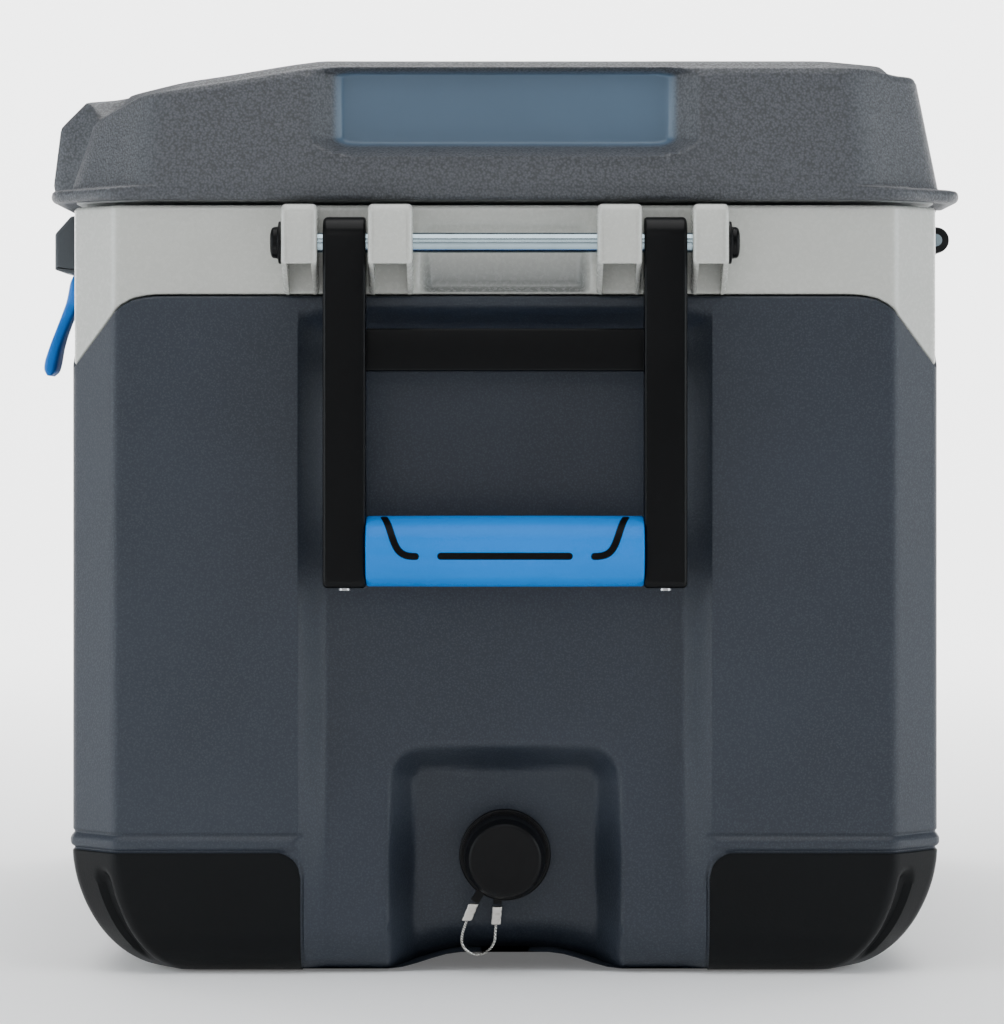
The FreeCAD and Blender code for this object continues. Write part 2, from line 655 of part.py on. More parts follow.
def make_lid(parts):
    """Lid shell, its liner with a plug that fits the tub, the foam and the gasket."""
    flange = chest(LID_HALF_LENGTH, LID_HALF_DEPTH, LID_FLANGE_CUT, (LID_BOTTOM, FLANGE_TOP))
    dome = tapered_chest(LID_HALF_LENGTH, LID_WALL_HALF_DEPTH, LID_WALL_CUT, (FLANGE_TOP, LID_TOP),
                         LID_DRAFT)
    outside = less(union([flange, dome, brow(0)]), [above_slope(0)] + both_ends(lid_recess(0)))
    notches = [latch_notch(x, 0) for x in (LATCH_X, -LATCH_X)]
    notches += [hinge_notch(x) for x in (HINGE_X, -HINGE_X)]
    pins = [latch_pin(x, STILL_FIT) for x in (LATCH_X, -LATCH_X)]
    inside = lid_inside()
    parts["lid_shell"] = less(outside, notches + pins + [inside, lid_floor()])
    plug = rounded_tub(CAVITY_HALF_LENGTH - LID_PLUG_GAP, CAVITY_HALF_DEPTH - LID_PLUG_GAP,
                       CAVITY_CORNER - LID_PLUG_GAP, (COLLAR_TOP - LID_PLUG_DEPTH, LID_BOTTOM))
    hollow = rounded_tub(CAVITY_HALF_LENGTH - LID_PLUG_GAP - LINER_WALL,
                         CAVITY_HALF_DEPTH - LID_PLUG_GAP - LINER_WALL,
                         CAVITY_CORNER - LID_PLUG_GAP - LINER_WALL,
                         (COLLAR_TOP - LID_PLUG_DEPTH + LINER_WALL, LID_BOTTOM + LINER_WALL))
    parts["lid_liner"] = less(union([lid_floor(), plug]), [hollow])
    parts["lid_foam"] = union([less(inside, pins), hollow])
    inner, outer = [
        rounded_tub(CAVITY_HALF_LENGTH + out, CAVITY_HALF_DEPTH + out, CAVITY_CORNER + out,
                    (COLLAR_TOP + SOFT_GAP, LID_BOTTOM))
        for out in (GASKET_INSET, GASKET_INSET + GASKET_WIDTH)]
    parts["lid_gasket"] = outer.cut(inner)


# --- latches and hinges --------------------------------------------------------------------------------
def latch_pin(x, grow):
    """Pin that a latch turns on."""
    span = (x - LATCH_PIN_HALF, x + LATCH_PIN_HALF)
    return cylinder_x(LATCH_PIN_R + grow, span, LATCH_PIN_Y, LATCH_PIN_Z)


def make_latch(x):
    """Rubber latch: eye, strap, cross knob, waist and pull tab in one moulding."""
    face = -BODY_HALF_DEPTH
    y = LATCH_PIN_Y
    strap = (y - STRAP_THICK / 2, y + STRAP_THICK / 2)
    knob_top = LATCH_PIN_Z - KEEPER_REACH
    eye = cylinder_x(LATCH_EYE_R, (x - STRAP_HALF, x + STRAP_HALF), y, LATCH_PIN_Z)
    band = box((x - STRAP_HALF, x + STRAP_HALF), strap, (KNOB_LOW, LATCH_PIN_Z))
    knob = prism_x([(face - 2 * LATCH_CLEAR, knob_top + PAST), (face - KNOB_OUT, knob_top + KNOB_BEVEL),
                    (face - KNOB_OUT, KNOB_LOW + KNOB_BEVEL), (face - KNOB_OUT + KNOB_BEVEL, KNOB_LOW),
                    (face - 2 * LATCH_CLEAR, KNOB_LOW)], (x - KNOB_HALF, x + KNOB_HALF))
    sweep = cylinder_x(KEEPER_REACH + LATCH_CLEAR, (x - KNOB_HALF, x + KNOB_HALF), y, LATCH_PIN_Z)
    knob = knob.cut(sweep)
    waist = box((x - WAIST_HALF, x + WAIST_HALF), (strap[0] - PAST, strap[1]),
                (TAB_TOP - PAST, KNOB_LOW + PAST))
    lip_low, lip_high = TAB_LOW + TAB_LIP[0], TAB_LOW + TAB_LIP[1]
    tab = prism_x([(strap[1], TAB_TOP), (strap[0] - PAST, TAB_TOP), (face - TAB_OUT, lip_high),
                   (face - TAB_OUT, lip_low), (face - TAB_OUT + TAB_BEVEL, TAB_LOW),
                   (face - TAB_IN, TAB_LOW), (face - 2 * LATCH_CLEAR, lip_high)],
                  (x - TAB_HALF, x + TAB_HALF))
    return less(union([eye, band, knob, waist, tab]), [latch_pin(x, RUN_FIT)])


def make_keeper(x):
    """Forked keeper on the collar; its under face is round about the latch pin."""
    face = -BODY_HALF_DEPTH
    out = face - KEEPER_OUT
    low = LATCH_PIN_Z - KEEPER_REACH - PAST
    side = prism_x([(face, low), (out, low), (out, KEEPER_TOP - KEEPER_CHAMFER),
                    (out + KEEPER_CHAMFER, KEEPER_TOP), (face, KEEPER_TOP)],
                   (x - KEEPER_HALF, x + KEEPER_HALF))
    half = STRAP_HALF + STRAP_SIDE_GAP
    slot = box((x - half, x + half), (out - PAST, face - KEEPER_BASE), (low - PAST, KEEPER_TOP + PAST))
    round_face = cylinder_x(KEEPER_REACH, (x - KEEPER_HALF, x + KEEPER_HALF), LATCH_PIN_Y, LATCH_PIN_Z)
    screws = [keeper_screw(x + s * KEEPER_SCREW_X, STILL_FIT) for s in (-1, 1)]
    return less(side.common(round_face), [slot] + screws)


def keeper_screw(x, grow):
    """Screw through one prong of a keeper into the collar's wall."""
    mid = (KEEPER_TOP + LATCH_PIN_Z - KEEPER_REACH) / 2
    seat = -BODY_HALF_DEPTH - KEEPER_SCREW_SEAT
    head = cylinder_y(SCREW_HEAD_R + grow, x, (-BODY_HALF_DEPTH - KEEPER_OUT + KEEPER_SCREW_SINK, seat), mid)
    shank = cylinder_y(SCREW_R + grow, x, (seat, -BODY_HALF_DEPTH), mid)
    return union([head, shank])


def hinge_knuckle(x, span):
    """One stretch of a hinge's barrel."""
    return cylinder_x(HINGE_R, (x + span[0], x + span[1]), HINGE_Y, HINGE_Z)


def hinge_pin(x, grow):
    """Pin of one hinge."""
    span = (x - HINGE_HALF - PAST, x + HINGE_HALF + PAST)
    return cylinder_x(HINGE_PIN_R + grow, span, HINGE_Y, HINGE_Z)


def make_body_leaf(x):
    """Hinge leaf screwed to the collar's back, with a knuckle at each side."""
    back = BODY_HALF_DEPTH
    plate_top = HINGE_Z - HINGE_R - LEAF_PLATE_GAP
    plate = box((x - HINGE_HALF, x + HINGE_HALF), (back, back + LEAF_THICK), (LEAF_LOW, plate_top))
    pieces = [plate]
    for span in ((-HINGE_HALF, -HINGE_MIDDLE_HALF - HINGE_SIDE_GAP),
                 (HINGE_MIDDLE_HALF + HINGE_SIDE_GAP, HINGE_HALF)):
        web = prism_x([(back, plate_top - LEAF_WEB), (back + LEAF_THICK, plate_top - LEAF_WEB),
                       (HINGE_Y, HINGE_Z - HINGE_R), (HINGE_Y, HINGE_Z), (back, HINGE_Z)],
                      (x + span[0], x + span[1]))
        pieces += [web, hinge_knuckle(x, span)]
    return less(union(pieces), [hinge_pin(x, STILL_FIT)] + leaf_screws_body(x, STILL_FIT))


def make_lid_leaf(x):
    """Hinge leaf on the lid's rear wall: it passes the flange's notch and follows the wall's lean."""
    wall = LID_WALL_HALF_DEPTH
    lean = (LEAF_HIGH - FLANGE_TOP) * LID_DRAFT
    dome = tapered_chest(LID_HALF_LENGTH, wall, LID_WALL_CUT, (FLANGE_TOP, LID_TOP), LID_DRAFT)
    strap = prism_x([(wall, HINGE_Z), (wall + LEAF_THICK, HINGE_Z), (wall + LEAF_THICK, FLANGE_TOP),
                     (wall + LEAF_THICK - lean, LEAF_HIGH), (wall - lean, LEAF_HIGH), (wall, FLANGE_TOP)],
                    (x - HINGE_MIDDLE_HALF, x + HINGE_MIDDLE_HALF))
    spread = prism_x([(wall, FLANGE_TOP + PAST), (wall + LEAF_THICK, FLANGE_TOP + PAST),
                      (wall + LEAF_THICK - lean, LEAF_HIGH), (wall - lean, LEAF_HIGH)],
                     (x - HINGE_HALF, x + HINGE_HALF))
    knuckle = hinge_knuckle(x, (-HINGE_MIDDLE_HALF, HINGE_MIDDLE_HALF))
    leaf = union([union([strap, spread]).cut(dome), knuckle])
    return less(leaf, [hinge_pin(x, RUN_FIT)] + leaf_screws_lid(x, STILL_FIT))


def leaf_screws_body(x, grow):
    """Two screws through a body leaf."""
    z = (LEAF_LOW + HINGE_Z - HINGE_R - LEAF_PLATE_GAP) / 2
    place = BODY_HALF_DEPTH + LEAF_THICK
    return [screw(V(x + dx, place, z), V(0, 1, 0), SCREW_HEAD_R, SCREW_HEAD_THICK, SCREW_R + grow,
                  LEAF_THICK) for dx in (-LEAF_SCREW_X, LEAF_SCREW_X)]


def leaf_screws_lid(x, grow):
    """Two screws through a lid leaf, square to the lid's leaning wall."""
    z = (FLANGE_TOP + LEAF_HIGH) / 2
    y = LID_WALL_HALF_DEPTH + LEAF_THICK - (z - FLANGE_TOP) * LID_DRAFT
    out = V(0, 1, LID_DRAFT)
    out.normalize()
    return [screw(V(x + dx, y, z), out, SCREW_HEAD_R, SCREW_HEAD_THICK, SCREW_R + grow,
                  LEAF_THICK * 0.95) for dx in (-LEAF_SCREW_X, LEAF_SCREW_X)]


def make_latches_and_hinges(parts):
    """Both latches with their pins and keepers, and both hinges."""
    keeper_screws, body_screws, lid_screws = [], [], []
    for side, sign in (("drain_end", 1), ("far_end", -1)):
        x = sign * LATCH_X
        parts["latch_" + side] = make_latch(x)
        parts["latch_pin_" + side] = latch_pin(x, 0)
        parts["latch_keeper_" + side] = make_keeper(x)
        keeper_screws += [keeper_screw(x + s * KEEPER_SCREW_X, 0) for s in (-1, 1)]
        x = sign * HINGE_X
        parts["hinge_body_leaf_" + side] = make_body_leaf(x)
        parts["hinge_lid_leaf_" + side] = make_lid_leaf(x)
        parts["hinge_pin_" + side] = hinge_pin(x, 0)
        body_screws += leaf_screws_body(x, 0)
        lid_screws += leaf_screws_lid(x, 0)
    parts["keeper_screws"] = Part.makeCompound(keeper_screws)
    parts["hinge_body_screws"] = Part.makeCompound(body_screws)
    parts["hinge_lid_screws"] = Part.makeCompound(lid_screws)


# --- handles -------------------------------------------------------------------------------------------
def make_rod():
    """Steel rod through the four ears of the +X end."""
    return cylinder_y(ROD_R, ROD_X, (-EAR_OUTER[1], EAR_OUTER[1]), ROD_Z)


def rod_caps():
    """Two push-on caps, one on each end of the rod."""
    end = EAR_OUTER[1]
    flange = cylinder_y(CAP_FLANGE_R, ROD_X, (end, end + CAP_FLANGE_THICK), ROD_Z)
    dome_start = end + CAP_FLANGE_THICK
    dome = Part.makeCone(CAP_DOME_R, CAP_DOME_TOP_R, CAP_DOME_HEIGHT,
                         V(ROD_X, dome_start, ROD_Z), V(0, 1, 0))
    cap = union([flange, dome])
    return [cap, mirrored(cap, V(0, 1, 0))]


def core_rod():
    """Steel core through the grip into both arms."""
    end = ARM_Y[0] + CORE_INTO_ARM
    return cylinder_y(CORE_R, ROD_X, (-end, end), GRIP_Z)


def handle_screws():
    """Screws that hold the core, up through the arms' lower ends."""
    low = GRIP_Z - ARM_BELOW_GRIP
    y = (ARM_Y[0] + ARM_Y[1]) / 2
    return [screw(V(ROD_X, s * y, low), V(0, 0, -1), HANDLE_SCREW_HEAD_R, HANDLE_SCREW_HEAD,
                  HANDLE_SCREW_R, ARM_BELOW_GRIP - CORE_R) for s in (1, -1)]


def make_handle_frame():
    """Both arms and the crossbar in one moulding."""
    back, front = ROD_X - ARM_HALF_X, ROD_X + ARM_HALF_X
    top, low = ROD_Z + ARM_TOP_REACH, GRIP_Z - ARM_BELOW_GRIP
    across, along = ARM_BEVEL
    side = [(back + across, top), (front - across, top), (front, top - along), (front, low + along),
            (front - across, low), (back + across, low), (back, low + along), (back, top - along)]
    arm = prism_y(side, ARM_Y)
    bar = box((back, back + CROSSBAR_THICK), (-ARM_Y[0], ARM_Y[0]),
              (ROD_Z - CROSSBAR_DROP[1], ROD_Z - CROSSBAR_DROP[0]))
    frame = union([arm, mirrored(arm, V(0, 1, 0)), bar])
    bore = cylinder_y(ROD_R + RUN_FIT, ROD_X, (-ARM_Y[1] - PAST, ARM_Y[1] + PAST), ROD_Z)
    return less(frame, [bore, core_rod()] + handle_screws())


def inlays():
    """Black lines let into the front of the grip: one bar and two bent ends."""
    centre = GRIP_Z - INLAY_LINE_DROP
    half = INLAY_WIDTH / 2
    line = (centre - half, centre + half)
    x = (ROD_X, ROD_X + GRIP_R + PAST)
    above = GRIP_Z + GRIP_R + PAST
    inner, bend, outer = INLAY_SIDE
    side = prism_x([(inner, line[0]), (bend + half, line[0]), (outer + half, above),
                    (outer - half, above), (bend - half, line[1]), (inner, line[1])], x)
    shapes = [box(x, (-INLAY_HALF, INLAY_HALF), line), side, mirrored(side, V(0, 1, 0))]
    reach = (-ARM_Y[0], ARM_Y[0])
    under = cylinder_y(GRIP_R - INLAY_DEPTH, ROD_X, reach, GRIP_Z)
    skin = cylinder_y(GRIP_R, ROD_X, reach, GRIP_Z).cut(under)
    return [skin.common(shape) for shape in shapes]


def make_grip():
    """Round grip between the arms."""
    end = ARM_Y[0] - GRIP_END_GAP
    grip = cylinder_y(GRIP_R, ROD_X, (-end, end), GRIP_Z)
    return less(grip, [core_rod()] + inlays())


def make_handles(parts):
    """Rod, caps, frame, grip, inlays, core and screws at both ends."""
    pieces = {
        "handle_rod": make_rod(),
        "rod_end_caps": Part.makeCompound(rod_caps()),
        "handle_frame": make_handle_frame(),
        "handle_grip": make_grip(),
        "grip_inlays": Part.makeCompound(inlays()),
        "grip_core": core_rod(),
        "handle_screws": Part.makeCompound(handle_screws()),
    }
    for name, shape in pieces.items():
        near, far = both_ends(shape)
        parts[name + "_drain_end"] = near
        parts[name + "_far_end"] = far


# --- drain -----------------------------------------------------------------------------------------------
def ring_x(outer, inner, x):
    """Flat ring about the drain's axis between the pair x."""
    return cylinder_x(outer, x, 0, DRAIN_Z).cut(cylinder_x(inner, x, 0, DRAIN_Z))


def lug(x, top, end, width):
    """Flat tongue between the pair x from the point top to the point end, both (y, z)."""
    (y0, z0), (y1, z1) = top, end
    length = math.hypot(y1 - y0, z1 - z0)
    across = (-(z1 - z0) / length * width / 2, (y1 - y0) / length * width / 2)
    return prism_x([(y0 + across[0], z0 + across[1]), (y1 + across[0], z1 + across[1]),
                    (y1 - across[0], z1 - across[1]), (y0 - across[0], z0 - across[1])], x)


def route_point(number):
    """A point of the tether's route in the chest's frame."""
    out, y, z = CABLE_ROUTE[number]
    return V(THREAD_X + out, y, z)


def ferrule(end, towards):
    """Crimped ferrule from the cable's end, pointing away from the point towards."""
    axis = end - towards
    axis.normalize()
    far = end + axis * FERRULE_LENGTH
    x = (end.x - FERRULE_THICK / 2, end.x + FERRULE_THICK / 2)
    return lug(x, (end.y, end.z), (far.y, far.z), FERRULE_WIDTH), far


def tether_tube():
    """The cable: straight runs joined by tangent arcs. It also returns its length and its radii."""
    points = [route_point(n) for n in range(len(CABLE_ROUTE))]
    edges, radii, at = [], [], points[0]
    length = 0.0
    for before, corner, after in zip(points, points[1:], points[2:]):
        into, out = corner - before, after - corner
        turn = into.getAngle(out)
        cut = 0.45 * min(into.Length, out.Length)
        radius = cut / math.tan(turn / 2)
        into.normalize()
        out.normalize()
        start, end = corner - into * cut, corner + out * cut
        inward = out - into
        inward.normalize()
        middle = corner + inward * (radius / math.cos(turn / 2) - radius)
        edges += [Part.LineSegment(at, start).toShape(), Part.Arc(start, middle, end).toShape()]
        length += (start - at).Length + radius * turn
        radii.append(radius)
        at = end
    edges.append(Part.LineSegment(at, points[-1]).toShape())
    length += (points[-1] - at).Length
    first = points[1] - points[0]
    section = Part.Wire([Part.Circle(points[0], first, CABLE_R).toShape()])
    return Part.Wire(edges).makePipeShell([section], True, False), length, radii


def make_drain(parts):
    """Spout, gaskets, ring nut, cap with its seal, and the tether."""
    tube_start = CAVITY_HALF_LENGTH - INNER_GASKET_THICK - RING_NUT_LENGTH
    spout = union([cylinder_x(SPOUT_TUBE_R, (tube_start, THREAD_X), 0, DRAIN_Z),
                   cylinder_x(SPOUT_FLANGE_R, (SPOUT_FLANGE_X, THREAD_X), 0, DRAIN_Z),
                   cylinder_x(THREAD_R, (THREAD_X, THREAD_END), 0, DRAIN_Z)])
    bore = cylinder_x(SPOUT_BORE_R, (tube_start - PAST, THREAD_END + PAST), 0, DRAIN_Z)
    parts["drain_spout"] = spout.cut(bore)
    hole = SPOUT_TUBE_R + STILL_FIT
    parts["drain_outer_gasket"] = ring_x(SPOUT_FLANGE_R - SPOUT_GASKET_BACK, hole,
                                         (POCKET_FLOOR_X, SPOUT_FLANGE_X))
    wall = CAVITY_HALF_LENGTH
    parts["drain_inner_gasket"] = ring_x(RING_NUT_R, hole, (wall - INNER_GASKET_THICK, wall))
    parts["drain_ring_nut"] = ring_x(RING_NUT_R, hole, (tube_start, wall - INNER_GASKET_THICK))
    make_cap(parts)
    make_tether(parts)


def make_cap(parts):
    """Screw cap: rim, neck that the tether ring turns on, tapered nose, and the seal inside."""
    nose = Part.makeCone(CAP_BASE_R, CAP_NOSE_R, CAP_NOSE_LENGTH, V(NOSE_X, 0, DRAIN_Z), V(1, 0, 0))
    solid = union([cylinder_x(CAP_RIM_R, (CAP_X, NECK_X), 0, DRAIN_Z),
                   cylinder_x(CAP_NECK_R, (NECK_X, NOSE_X), 0, DRAIN_Z), nose])
    depth = THREAD_END + SOFT_GAP + SEAL_THICK
    parts["drain_cap"] = solid.cut(cylinder_x(THREAD_R + RUN_FIT, (CAP_X - PAST, depth), 0, DRAIN_Z))
    parts["cap_seal"] = cylinder_x(THREAD_R - SOFT_GAP, (THREAD_END + SOFT_GAP, depth), 0, DRAIN_Z)


def make_tether(parts):
    """Anchor on the spout, swivel ring on the cap, two ferrules and the cable between them."""
    cap_ferrule, cap_top = ferrule(route_point(0), route_point(1))
    spout_ferrule, spout_top = ferrule(route_point(-1), route_point(-2))
    anchor_x = (THREAD_X, THREAD_X + ANCHOR_THICK)
    start = (spout_top.y, DRAIN_Z - (ANCHOR_R + THREAD_R) / 2)
    anchor = union([cylinder_x(ANCHOR_R, anchor_x, 0, DRAIN_Z),
                    lug(anchor_x, start, (spout_top.y, spout_top.z), LUG_WIDTH)])
    parts["tether_anchor"] = anchor.cut(cylinder_x(THREAD_R + STILL_FIT, anchor_x, 0, DRAIN_Z))
    ring_x_span = (RING_X, RING_X + RING_THICK)
    away = math.atan2(cap_top.z - DRAIN_Z, cap_top.y)
    middle = (CAP_NECK_R + RING_OUTER_R) / 2
    start = (middle * math.cos(away), DRAIN_Z + middle * math.sin(away))
    ring = union([cylinder_x(RING_OUTER_R, ring_x_span, 0, DRAIN_Z),
                  lug(ring_x_span, start, (cap_top.y, cap_top.z), LUG_WIDTH)])
    parts["tether_ring"] = less(ring.cut(cylinder_x(CAP_NECK_R + RUN_FIT, ring_x_span, 0, DRAIN_Z)),
                                [cap_ferrule])
    parts["ferrule_cap_end"] = cap_ferrule
    parts["ferrule_spout_end"] = spout_ferrule.cut(anchor)
    tube, length, radii = tether_tube()
    parts["tether_cable"] = tube
    section = math.pi * CABLE_R ** 2
    print("tether: length %.1f, volume over section times length %.4f, radii %s"
          % (length, tube.Volume / (section * length), ["%.1f" % r for r in radii]))


# --- all of it ---------------------------------------------------------------------------------------
def make_all():
    """Every sub-part by name, in the chest's frame."""
    parts = {}
    make_shell_and_collar(parts)
    make_liner(parts)
    make_lid(parts)
    make_latches_and_hinges(parts)
    make_handles(parts)
    make_drain(parts)
    return parts


def export_all(parts):
    """Write one STEP file for each sub-part, with the origin under the middle of the object."""
    os.makedirs("parts", exist_ok=True)
    for name, shape in sorted(parts.items()):
        shape.translate(V(0, Y_SHIFT, 0))
        shape.exportStep("parts/%s.step" % name)
        if not shape.isValid():
            print("not valid:", name)
        print("%-30s %2d solids %9.1f cm3" % (name, len(shape.Solids), shape.Volume / 1000))
    print("shift %.3f  hinge y %.3f z %.3f  latch pin y %.3f z %.3f  rod x %.3f z %.3f"
          % (Y_SHIFT, HINGE_Y + Y_SHIFT, HINGE_Z, LATCH_PIN_Y + Y_SHIFT, LATCH_PIN_Z, ROD_X, ROD_Z))


export_all(make_all())
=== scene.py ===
import json
import math

import bmesh
import bpy
import numpy as np
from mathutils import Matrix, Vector


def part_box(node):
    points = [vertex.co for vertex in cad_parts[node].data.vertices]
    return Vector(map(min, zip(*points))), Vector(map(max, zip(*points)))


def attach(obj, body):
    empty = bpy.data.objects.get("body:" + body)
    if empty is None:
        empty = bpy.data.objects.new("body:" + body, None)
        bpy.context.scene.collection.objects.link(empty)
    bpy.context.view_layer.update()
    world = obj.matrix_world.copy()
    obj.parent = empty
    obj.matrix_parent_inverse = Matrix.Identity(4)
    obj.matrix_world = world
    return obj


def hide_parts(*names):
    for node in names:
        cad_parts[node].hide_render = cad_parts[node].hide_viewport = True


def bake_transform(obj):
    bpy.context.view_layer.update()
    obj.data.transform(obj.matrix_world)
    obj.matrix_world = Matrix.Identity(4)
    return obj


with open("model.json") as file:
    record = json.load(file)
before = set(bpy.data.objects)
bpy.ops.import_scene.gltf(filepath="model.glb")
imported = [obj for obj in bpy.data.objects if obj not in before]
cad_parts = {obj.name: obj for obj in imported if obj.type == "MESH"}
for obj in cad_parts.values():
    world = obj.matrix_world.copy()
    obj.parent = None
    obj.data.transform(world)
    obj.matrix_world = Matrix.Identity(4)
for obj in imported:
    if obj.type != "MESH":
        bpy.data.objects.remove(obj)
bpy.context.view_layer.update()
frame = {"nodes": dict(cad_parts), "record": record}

# A hard chest cooler seen from its drain end. Shapes are worked out in millimetres about the chest's own
# centre line, x along the chest, z up, -y the latch side, and `piece` puts them in metres in the row frame.
MM = 0.001
shell_low, shell_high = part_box("outer_shell")
CENTRE_Y = (shell_low.y + shell_high.y) / 2

# --- sizes ---
HALF_LENGTH = (shell_high.x - shell_low.x) / 2 / MM
HALF_DEPTH = (shell_high.y - shell_low.y) / 2 / MM
CORNER_CUT = 22.0
CORNER_ROUND = 8.0
BOTTOM = 1.5                # the shell's underside
SEAM_Z = 321.4              # where shell and collar meet on the flats
COLLAR_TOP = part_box("collar")[1].z / MM
CHANNEL = (84.5, 98.0)      # |y| of the handle channel's floor and of its mouth
POCKET_Y, POCKET_TOP = 43.0, 95.5   # the drain pocket's floor
FOOT_TOP = 58.2
FOOT_Y = 96.7               # |y| where a foot ends on the end face
FOOT_X = HALF_LENGTH - 105.0
FOOT_CORNER = 12.0
ROLL_WIDTH = (24.0, 46.0)   # how far ends and sides turn under
LID_LOW, LID_TOP = (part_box("lid_shell")[k].z / MM for k in (0, 1))
FLANGE_TOP = LID_LOW + 7.1
LID_X, LID_Y, LID_CUT = 310.0, 209.0, 39.0
FLANGE_Y, FLANGE_CUT = 217.9, 30.0
LID_LEAN = 0.187
LID_EDGE = 4.0              # how far the lid's outer edge lies under the raised panel
BROW = (247.0, 255.0)       # |x| where the brow begins to end, and where it is gone
ROD_X, ROD_Z, ROD_R, ROD_END = 322.0, 345.8, 4.75, 104.5
GRIP_Z, GRIP_R = 201.2, 16.6
ARM = (65.2, 85.2)          # |y| of an arm's two sides
DRAIN_Z = 55.8
LATCH_X, LATCH_Y, LATCH_Z = 168.0, -212.0, 372.0
HINGE_X = 190.0
KEEPER_REACH = 36.3         # radius of the keeper's under face about the latch pin


# --- small makers ---
def smooth(v, low, high):
    """Soft step: t*t*(3 - 2t) with t = (v - low) / (high - low) held between 0 and 1."""
    t = np.clip((v - low) / (high - low), 0.0, 1.0)
    return t * t * (3 - 2 * t)


def ramp(v, low, high):
    """A flank between low and high: eight parts straight, two parts soft step."""
    return 0.8 * np.clip((v - low) / (high - low), 0, 1) + 0.2 * smooth(v, low, high)


def rounded_distance(a, b, r):
    """Distance outside the quarter plane a < 0, b < 0 whose corner is rounded with radius r."""
    a, b = a + r, b + r
    return np.minimum(np.maximum(a, b), 0) + np.hypot(np.maximum(a, 0), np.maximum(b, 0)) - r


def grid(points, caps=True):
    """Quads over a grid of points (rows, columns, 3) whose columns close on themselves. With caps the
    first and last row are closed with one face each."""
    rows, cols = points.shape[:2]
    index = np.arange(rows * cols).reshape(rows, cols)
    right = np.roll(index, -1, axis=1)
    faces = np.stack([index[:-1], right[:-1], right[1:], index[1:]], -1).reshape(-1, 4).tolist()
    if caps:
        faces += [index[0][::-1].tolist(), index[-1].tolist()]
    return points.reshape(-1, 3), faces


def outward(shape):
    """The closed shape with its faces turned outwards: its volume, the sum of a . (b x c) / 6 over a fan
    of triangles in each face, must come out positive."""
    points, faces = shape
    fans = np.array([(f[0], f[k], f[k + 1]) for f in faces for k in range(1, len(f) - 1)])
    a, b, c = (points[fans[:, k]] for k in range(3))
    if np.einsum("ij,ij->i", a, np.cross(b, c)).sum() < 0:
        faces = [f[::-1] for f in faces]
    return points, faces


def turned(shape):
    """The shape turned half round to the other end: x and y change sign."""
    points, faces = shape
    return points * np.array([-1, -1, 1]), faces


def mirrored(shape, axis):
    """The shape mirrored across the plane through the middle that is square to the axis."""
    points, faces = shape
    flip = np.ones(3)
    flip[axis] = -1
    return points * flip, [f[::-1] for f in faces]


def piece(name, shapes, body, slot, node, sharp=40, marks=None):
    """One object from closed shapes: coincident points merged, faces outwards, smooth but for edges
    sharper than the angle. It has its slot's finish, rides on the body and stands for the CAD node."""
    points, faces, start = [], [], 0
    for shape in shapes:
        shape_points, shape_faces = outward(shape)
        points.append(shape_points)
        faces += [[i + start for i in f] for f in shape_faces]
        start += len(shape_points)
    points = np.concatenate(points) * MM + np.array([0, CENTRE_Y, 0])
    mesh = bpy.data.meshes.new(name)
    mesh.from_pydata(points.tolist(), [], faces)
    if marks is not None:
        layer = mesh.attributes.new("mark", "FLOAT", "POINT")
        layer.data.foreach_set("value", np.asarray(marks, np.float32).ravel())
    work = bmesh.new()
    work.from_mesh(mesh)
    bmesh.ops.remove_doubles(work, verts=work.verts, dist=2e-6)
    work.to_mesh(mesh)
    work.free()
    mesh.shade_smooth()
    mesh.set_sharp_from_angle(angle=math.radians(sharp))
    mesh.materials.append(FINISHES[slot])
    thing = bpy.data.objects.new(name, mesh)
    bpy.context.scene.collection.objects.link(thing)
    if body:
        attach(thing, body)
    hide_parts(node)
    return thing


def quarter(half_x, half_y, cut, r, ys, xs, tail):
    """A quarter of a level outline with a cut corner whose two edges are rounded with radius r: the end
    face at the stations ys, the corner, and the side at the stations xs. Points and outward normals."""
    t = r * math.tan(math.pi / 8)
    end_y, end_x = half_y - cut - t, half_x - cut - t
    y = np.concatenate([ys, np.linspace(ys[-1], end_y, tail[0] + 1)[1:]])
    x = np.concatenate([xs, np.linspace(xs[-1], end_x, tail[1] + 1)[1:]])[::-1]
    turn = np.linspace(0, math.pi / 4, 7)
    c, s = np.cos(turn), np.sin(turn)
    first = np.stack([half_x - r + r * c, end_y + r * s], -1)
    second = np.stack([end_x + r * s[::-1], half_y - r + r * c[::-1]], -1)
    share = np.linspace(0, 1, 17)[1:-1, None]
    middle = first[-1] * (1 - share) + second[0] * share
    points = np.concatenate([np.stack([np.full_like(y, half_x), y], -1), first[1:], middle, second,
                             np.stack([x, np.full_like(x, half_y)], -1)[1:]])
    ones = np.ones_like
    normals = np.concatenate([np.stack([ones(y), 0 * y], -1), np.stack([c, s], -1)[1:],
                              np.full_like(middle, math.sqrt(0.5)), np.stack([s[::-1], c[::-1]], -1),
                              np.stack([0 * x, ones(x)], -1)[1:]])
    return points, normals


def loop(part):
    """A whole outline from a quarter: the quarter, its mirror in x, the half turn and the mirror in y."""
    def flip(sx, sy, back):
        q = part * np.array([sx, sy])
        return q[::-1] if back else q
    return np.concatenate([flip(1, 1, False), flip(-1, 1, True)[1:], flip(-1, -1, False)[1:],
                           flip(1, -1, True)[1:-1]])


def outline_ring(*sizes, **counts):
    """Points and normals of a whole level outline."""
    points, normals = quarter(*sizes, **counts)
    return loop(points), loop(normals)


